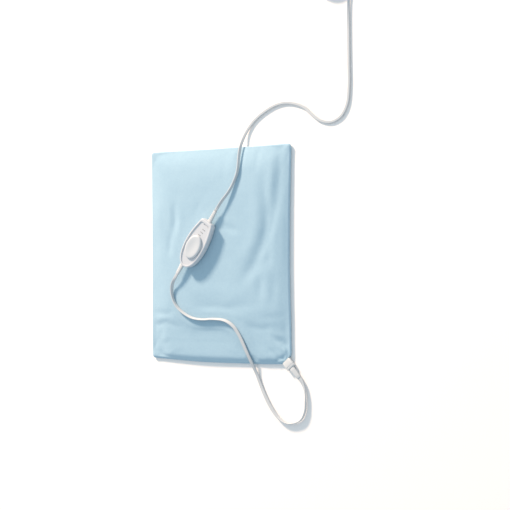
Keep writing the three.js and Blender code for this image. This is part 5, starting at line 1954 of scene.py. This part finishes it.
@dataclass
class HandControl:
    """The slide control: two case shells, the thumb slide and three level bars."""

    half_length: float = 48.0
    half_width: float = 22.0
    height: float = 15.0
    end_flat: float = 8.5
    end_half_width: float = 13.5
    end_corner: float = 5.0
    shoulder: float = 14.5
    flank_handles: tuple[PlanPoint, ...] = ((28.8, 18.48), (14.4, 22.0))
    widest: float = -1.92
    tail_handles: tuple[PlanPoint, ...] = ((-25.92, 22.0), (-48.0, 15.4))
    outline_steps: tuple[int, ...] = (5, 8, 24, 30)
    parting: float = 7.0
    parting_gap: float = 0.3
    chamfer: float = 0.3
    chamfer_run: float = 0.35
    lower_in: float = 0.05
    hull_inset: float = 4.5
    hull_steps: int = 8
    foot_in: float = 0.5
    screws: tuple[PlanPoint, ...] = ((33, 7.5), (33, -7.5), (-25, 12.2), (-25, -12.2))
    screw_radius: float = 2.75
    screw_low: float = -2.0
    screw_length: float = 5.2
    wall: float = 1.6
    draft: float = 0.25
    top_edge: float = 1.6
    edge_steps: int = 4
    rim: float = 3.0
    lip: float = 0.02
    lip_in: float = 0.55
    recess_depth: float = 1.6
    recess_end: float = 41.5
    recess_wall: tuple[Point, ...] = (
        (0.15, 1, 1), (0.5, 0.996, 0.994), (1.25, 0.994, 0.99), (1.6, 0.985, 0.975),
    )
    slot_room: float = 0.5
    slot_cut: float = 5.0
    end_slot: tuple[float, ...] = (39.4, 41.2, -8.2, 4.5)
    end_slot_depth: float = 1.2
    end_slot_over: float = 0.6
    slide_at: float = -6.5
    slide_half_length: float = 23.0
    slide_half_width: float = 15.5
    slide_base: float = 13.7
    slide_points: int = 96
    flare: PlanPoint = (1.008, 1.01)
    flare_run: float = 0.25
    flare_end: float = 0.6
    skirt: float = 1.6
    rise: float = 1.8
    shoulder_in: float = 0.15
    shoulder_side: float = 0.05
    shoulder_steps: int = 7
    dish: tuple[PlanPoint, ...] = ((0.74, 0.06), (0.6, 0.24), (0.44, 0.5), (0.26, 0.7), (0.08, 0.8))
    dish_side: float = 0.93
    stem: PlanPoint = (8.0, 6.0)
    stem_low: float = 9.4
    stem_in: float = 1.0
    travel: float = 15.6
    bars: tuple[Point, ...] = ((18.4, 1.2, 6.2), (24.7, -0.6, 6.9), (31.0, -1.8, 7.4))
    bar_width: float = 1.5
    bar_height: float = 0.13
    bar_sink: float = 0.2
    bar_round: float = 0.12
    case_smooth: float = 32.0
    bar_smooth: float = 35.0

    @property
    def recess_floor(self) -> float:
        """Gives the height of the recess's floor."""
        return self.height - self.recess_depth

    def outline(self, z: float) -> list[Point]:
        """Gives the case's outline, blunt at the cord end and round at the other.

        Args:
            z: Height of the outline.

        Returns:
            The points in order, anticlockwise.
        """
        end = self.half_length
        shoulder, side = (end - self.end_corner, self.shoulder), (self.widest, self.half_width)
        curves = (
            [(end, 0.0), (end, self.end_flat)],
            [(end, self.end_flat), (end, self.end_half_width), shoulder],
            [shoulder, *self.flank_handles, side],
            [side, *self.tail_handles, (-end, 0.0)],
        )
        half = []
        for curve, steps in zip(curves, self.outline_steps):
            half += self._curved(curve, steps)
        half.append((-end, 0.0))
        other = [(x, -y) for x, y in reversed(half[1:-1])]
        return [(x, y, z) for x, y in half + other]

    @staticmethod
    def _curved(corners: list[PlanPoint], count: int) -> list[PlanPoint]:
        """Gives points on a curve that its handles draw, without its end.

        Args:
            corners: The curve's start, its handles and its end.
            count: How many points are given.

        Returns:
            The points.
        """
        order = len(corners) - 1
        made = []
        for step in range(count):
            t = step / count
            weights = [math.comb(order, k) * t ** k * (1 - t) ** (order - k) for k in range(order + 1)]
            made.append(tuple(sum(w * c[axis] for w, c in zip(weights, corners)) for axis in range(2)))
        return made

    def _inset(self, at: float, inset: float) -> Section:
        """Gives the section whose outline lies an even distance inside the case's."""
        return Section(at, 1 - inset / self.half_length, 1 - inset / self.half_width)

    def build(self) -> None:
        """Builds the shells, the slide and the bars."""
        self._upper_shell()
        self._lower_shell()
        self._slide()
        self._bars()

    def _shell(self, name: str, rows: list[Section]) -> Workpiece:
        """Starts a shell on the case's outline and stacks its sections.

        Args:
            name: The piece's name.
            rows: The sections, from the parting line on.

        Returns:
            The piece, with its last ring still open and selected.
        """
        work = Workpiece(name).outline(self.outline(rows[0].at))
        work.obj.data.transform(Matrix.Diagonal((rows[0].wide, rows[0].high, 1, 1)))
        return work.stack(rows, Axis.UP)

    def _hollow(self, work: Workpiece) -> None:
        """Closes a shell's last ring and gives the shell its wall."""
        work.close_last()
        work.modify("SOLIDIFY", thickness=self.wall, offset=-1.0, use_even_offset=True)

    def _upper_shell(self) -> None:
        """Builds the upper shell with its rim, recess and slot."""
        low, edge = self.parting + self.parting_gap, self.top_edge
        rows = [self._inset(low, self.chamfer), self._inset(low + self.chamfer_run, 0)]
        rows.append(self._inset(self.height - edge, self.draft))
        for k in range(1, self.edge_steps + 1):
            angle = QUARTER_TURN * k / self.edge_steps
            at = self.height - edge * (1 - math.sin(angle))
            rows.append(self._inset(at, self.draft + edge * (1 - math.cos(angle))))
        rows.append(self._inset(self.height + self.lip, self.rim - self.lip_in))
        work = self._shell("control_upper", rows)
        squeeze = (self.recess_end + self.half_length - self.rim) / (2 * self.half_length)
        centre = (self.recess_end - squeeze * self.half_length) / (1 - squeeze)
        flat = 1 - self.rim / self.half_width
        recess = [rows[-1]]
        for depth, wide, high in self.recess_wall:
            recess.append(Section(self.height - depth, squeeze * wide, flat * high))
        work.grow(recess, Axis.UP, (centre, 0, 0))
        self._hollow(work)
        half_x, half_y = (side / 2 + self.slot_room for side in self.stem)
        slot = Workpiece("slot").block(
            (self.slide_at - half_x, -half_y, self.recess_floor - self.slot_cut),
            (self.slide_at + self.travel + half_x, half_y, self.recess_floor + self.slot_cut),
        )
        work.combine(slot, Joining.CUT)
        near, far, low_side, high_side = self.end_slot
        groove = Workpiece("end_groove").block(
            (near, low_side, self.recess_floor - self.end_slot_depth),
            (far, high_side, self.recess_floor + self.end_slot_over),
        )
        work.combine(groove, Joining.CUT)
        case = work.place(CONTROL_FRAME, self.case_smooth)
        deliver(case, WHITE_CASE, "case_plastic", FIXED_BODY, "upper_case")

    def _lower_shell(self) -> None:
        """Builds the lower shell, round like a hull, with its four screw holes."""
        rows = [self._inset(self.parting, self.chamfer)]
        rows.append(self._inset(self.parting - self.chamfer_run, self.lower_in))
        for k in range(1, self.hull_steps):
            depth = k / self.hull_steps
            inset = self.hull_inset * (1 - math.sqrt(1 - depth * depth))
            rows.append(self._inset(self.parting * (1 - depth), inset))
        rows.append(self._inset(self.chamfer_run, self.hull_inset - self.foot_in))
        rows.append(self._inset(0.0, self.hull_inset))
        work = self._shell("control_lower", rows)
        self._hollow(work)
        for x, y in self.screws:
            hole = Workpiece("screw_hole").rod(self.screw_radius, (x, y, self.screw_low), self.screw_length)
            work.combine(hole, Joining.CUT)
        case = work.place(CONTROL_FRAME, self.case_smooth)
        deliver(case, WHITE_CASE, "case_plastic", FIXED_BODY, "lower_case")

    def _slide_sections(self) -> list[Section]:
        """Gives the slide's sections: a flared skirt, a soft shoulder and a shallow dish.

        Returns:
            The sections from the base up and into the dish.
        """
        base, shoulder = self.slide_base, self.slide_base + self.skirt
        rows = [
            Section(base, 1, 1), Section(base + self.flare_run, *self.flare),
            Section(base + self.skirt * self.flare_end, *self.flare), Section(shoulder, 1, 1),
        ]
        for k in range(1, self.shoulder_steps + 1):
            angle = QUARTER_TURN * k / self.shoulder_steps
            drawn = 1 - math.cos(angle)
            at, out = shoulder + self.rise * math.sin(angle), 1 - self.shoulder_in * drawn
            rows.append(Section(at, out, out - self.shoulder_side * drawn))
        for share, sink in self.dish:
            rows.append(Section(shoulder + self.rise - sink, share, share * self.dish_side))
        return rows

    def _slide(self) -> None:
        """Builds the thumb slide: an oval cap on a stem."""
        ring = []
        for step in range(self.slide_points):
            angle = FULL_TURN * step / self.slide_points
            x, y = self.slide_half_length * math.cos(angle), self.slide_half_width * math.sin(angle)
            ring.append((x, y, self.slide_base))
        work = Workpiece("control_slide").outline(ring).stack(self._slide_sections(), Axis.UP).close_ends()
        half_x, half_y = (side / 2 for side in self.stem)
        stem = Workpiece("stem").block(
            (-half_x, -half_y, self.stem_low), (half_x, half_y, self.slide_base + self.stem_in)
        )
        work.combine(stem, Joining.UNITE)
        work.obj.data.transform(Matrix.Translation((self.slide_at, 0, 0)))
        deliver(work.place(CONTROL_FRAME), WHITE_SLIDE, "slide_plastic", SLIDE_BODY, "thumb_slide")

    def _bars(self) -> None:
        """Builds the three level bars on the recess floor."""
        floor, half = self.recess_floor, self.bar_width / 2
        for number, (along, over, length) in enumerate(self.bars, 1):
            work = Workpiece(f"level_bar_{number}").block(
                (along - half, over - length / 2, floor - self.bar_sink),
                (along + half, over + length / 2, floor + self.bar_height),
            )
            work.modify("BEVEL", width=self.bar_round, segments=2)
            bar = work.place(CONTROL_FRAME, self.bar_smooth)
            deliver(bar, LEVEL_PRINT, "case_plastic", FIXED_BODY)


@dataclass
class Plug:
    """The two-pin plug at the end of the supply cord."""

    frame: Matrix
    body_length: float = 26.0
    neck_wide: float = 6.5
    half_wide: float = 12.0
    half_high: float = 7.0
    neck: tuple[Point, ...] = (
        (0, 0.9, 0.6), (0.8, 1, 0.68), (5, 1.04, 0.74), (8, 1.2, 0.86), (10.5, 1.48, 0.95),
    )
    shoulder: tuple[Point, ...] = ((13, 0.93, 1), (14.6, 0.985, 1))
    grooves: tuple[float, ...] = (15.6, 18.2, 20.8)
    groove: tuple[Point, ...] = ((0, 1, 1), (0.5, 0.955, 0.93), (1.2, 0.955, 0.93), (1.7, 1, 1))
    face: tuple[Point, ...] = ((1.6, 1, 1), (0.6, 0.96, 0.94), (0, 0.9, 0.86))
    squareness: float = 3.6
    ring_points: int = 48
    sleeve_start: float = -0.3
    sleeve_wide: float = 4.1
    blade_gap: float = 6.35
    blade_start: float = 0.3
    blade_reach: float = 16.0
    blade_thick: float = 1.5
    wide_half: float = 3.95
    narrow_half: float = 3.175
    tip: PlanPoint = (0.55, 0.82)
    blade_round: float = 0.25
    blade_smooth: float = 35.0
    hole_radius: float = 1.6
    hole_back: float = 4.5
    hole_cut: float = 4.0

    def build(self) -> list[Piece]:
        """Builds the plug's body, its sleeve and its two blades.

        Returns:
            The pieces.
        """
        sleeve = StrainRelief(
            "plug_sleeve", self.frame, "plug_strain_relief", self.sleeve_start,
            way=Way.BACK, root_wide=self.sleeve_wide,
        )
        return [
            self._body(), sleeve.build(),
            self._blade("plug_wide_blade", self.blade_gap, self.wide_half, "plug_blade_wide"),
            self._blade("plug_narrow_blade", -self.blade_gap, self.narrow_half, "plug_blade_narrow"),
        ]

    def _body(self) -> Piece:
        """Builds the body with its waist and finger grooves.

        Returns:
            The body.
        """
        neck = self.neck_wide / self.half_wide
        rows = [Section(at, neck * wide, high) for at, wide, high in self.neck]
        rows += [Section(*row) for row in self.shoulder]
        rows += [Section(start + at, *share) for start in self.grooves for at, *share in self.groove]
        rows += [Section(self.body_length - before, *share) for before, *share in self.face]
        half = (self.half_wide, self.half_high)
        work = rounded_bar("plug_grip", half, self.squareness, self.ring_points, rows)
        return deliver(work.place(self.frame), GRIP_WHITE, "cord_plastic", FIXED_BODY, "plug_body")

    def _blade(self, name: str, over: float, half_high: float, node: str) -> Piece:
        """Builds one blade with a chamfered tip and a hole.

        Args:
            name: The piece's name.
            over: Place of the blade across the plug.
            half_high: Half of the blade's height.
            node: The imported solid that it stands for.

        Returns:
            The blade.
        """
        start, end = self.body_length + self.blade_start, self.body_length + self.blade_reach
        half = self.blade_thick / 2
        sides = ((half, half_high), (-half, half_high), (-half, -half_high), (half, -half_high))
        rows = [Section(start, 1, 1), Section(end, *self.tip)]
        work = Workpiece(name).outline([(start, *side) for side in sides])
        work.stack(rows, Axis.ALONG).close_ends()
        work.modify("BEVEL", width=self.blade_round, segments=2)
        hole = Workpiece("blade_hole").rod(self.hole_radius, (0, 0, -self.hole_cut), 2 * self.hole_cut)
        spot = Matrix.Translation((end - self.hole_back, 0, 0))
        hole.obj.data.transform(spot @ Matrix.Rotation(QUARTER_TURN, 4, "X"))
        work.combine(hole, Joining.CUT)
        blade = work.place(self.frame @ Matrix.Translation((0, over, 0)), self.blade_smooth)
        return deliver(blade, BRASS, "brass", FIXED_BODY, node)


@dataclass
class CoilTie:
    """The band that holds the coil's turns together."""

    coil_centre: PlanPoint
    bearing: float = 225.0
    width: float = 7.0
    inner: float = 22.5
    outer: float = 37.9
    top: float = 13.7
    wall: float = 0.6
    corner: float = 2.4
    corner_steps: int = 8
    edge: float = 0.9
    edge_run: float = 0.4
    sunk: PlanPoint = (0.985, 0.982)

    def build(self) -> Piece:
        """Builds the tie as a closed band round the coil's turns, with two raised edges.

        Returns:
            The tie.
        """
        half_x, half_y, half_z = (self.outer - self.inner) / 2, self.width / 2, self.top / 2
        ring = []
        for turn, (sx, sz) in enumerate(((1, 1), (-1, 1), (-1, -1), (1, -1))):
            for step in range(self.corner_steps + 1):
                angle = QUARTER_TURN * (turn + step / self.corner_steps)
                x = sx * (half_x - self.corner) + self.corner * math.cos(angle)
                z = sz * (half_z - self.corner) + self.corner * math.sin(angle)
                ring.append((x, -half_y, z))
        raised = half_y - self.edge
        sunk = raised - self.edge_run
        rows = [
            Section(-half_y, 1, 1), Section(-raised, 1, 1), Section(-sunk, *self.sunk),
            Section(sunk, *self.sunk), Section(raised, 1, 1), Section(half_y, 1, 1),
        ]
        work = Workpiece("cord_tie").outline(ring).stack(rows, Axis.ACROSS).face_out()
        work.modify("SOLIDIFY", thickness=self.wall, offset=-1.0)
        work.obj.data.transform(Matrix.Translation(((self.inner + self.outer) / 2, 0, half_z)))
        frame = placed(*self.coil_centre, 0, self.bearing)
        return deliver(work.place(frame), TIE_BLACK, "dark_plastic", FIXED_BODY, "coil_tie")


def dress_nodes(frame: dict) -> None:
    """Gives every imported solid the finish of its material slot.
    """
    for part in frame["record"]["subparts"]:
        SLOT_FINISHES[part["material_slot"]].dress(frame["nodes"][part["node"]])


def main() -> None:
    """Builds every piece of the heating pad in order."""
    logging.basicConfig(level=logging.INFO, format="%(message)s")
    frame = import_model()
    dress_nodes(frame)
    Studio().build()
    lead, supply = PadLead(), SupplyCord()
    lead.build()
    plug = Plug(supply.plug_frame).build()
    supply.build(plug + [CoilTie(supply.coil_centre).build()])
    PadCover(ClothCeiling([lead.cord(), supply.cord()])).build()
    CornerBlock().build()
    sleeves = (
        StrainRelief(
            "pad_sleeve", CORNER_FRAME, "pad_strain_relief", start=16.6,
            height=CORNER_CORD_Z, ribs=0, root_wide=5.0, tip_share=0.72,
        ),
        StrainRelief(
            "supply_sleeve", CONTROL_FRAME, "supply_strain_relief", start=42.8,
            height=CORD_AXIS_Z, root_wide=4.1, collar=2.0, neck=3.5,
        ),
        StrainRelief(
            "lead_sleeve", CONTROL_FRAME, "lead_strain_relief", start=-35,
            across=lead.end_across, height=CORD_AXIS_Z, way=Way.BACK, collar=2.0, neck=9.9,
        ),
    )
    for sleeve in sleeves:
        sleeve.build()
    HandControl().build()


if __name__ == "__main__":
    main()
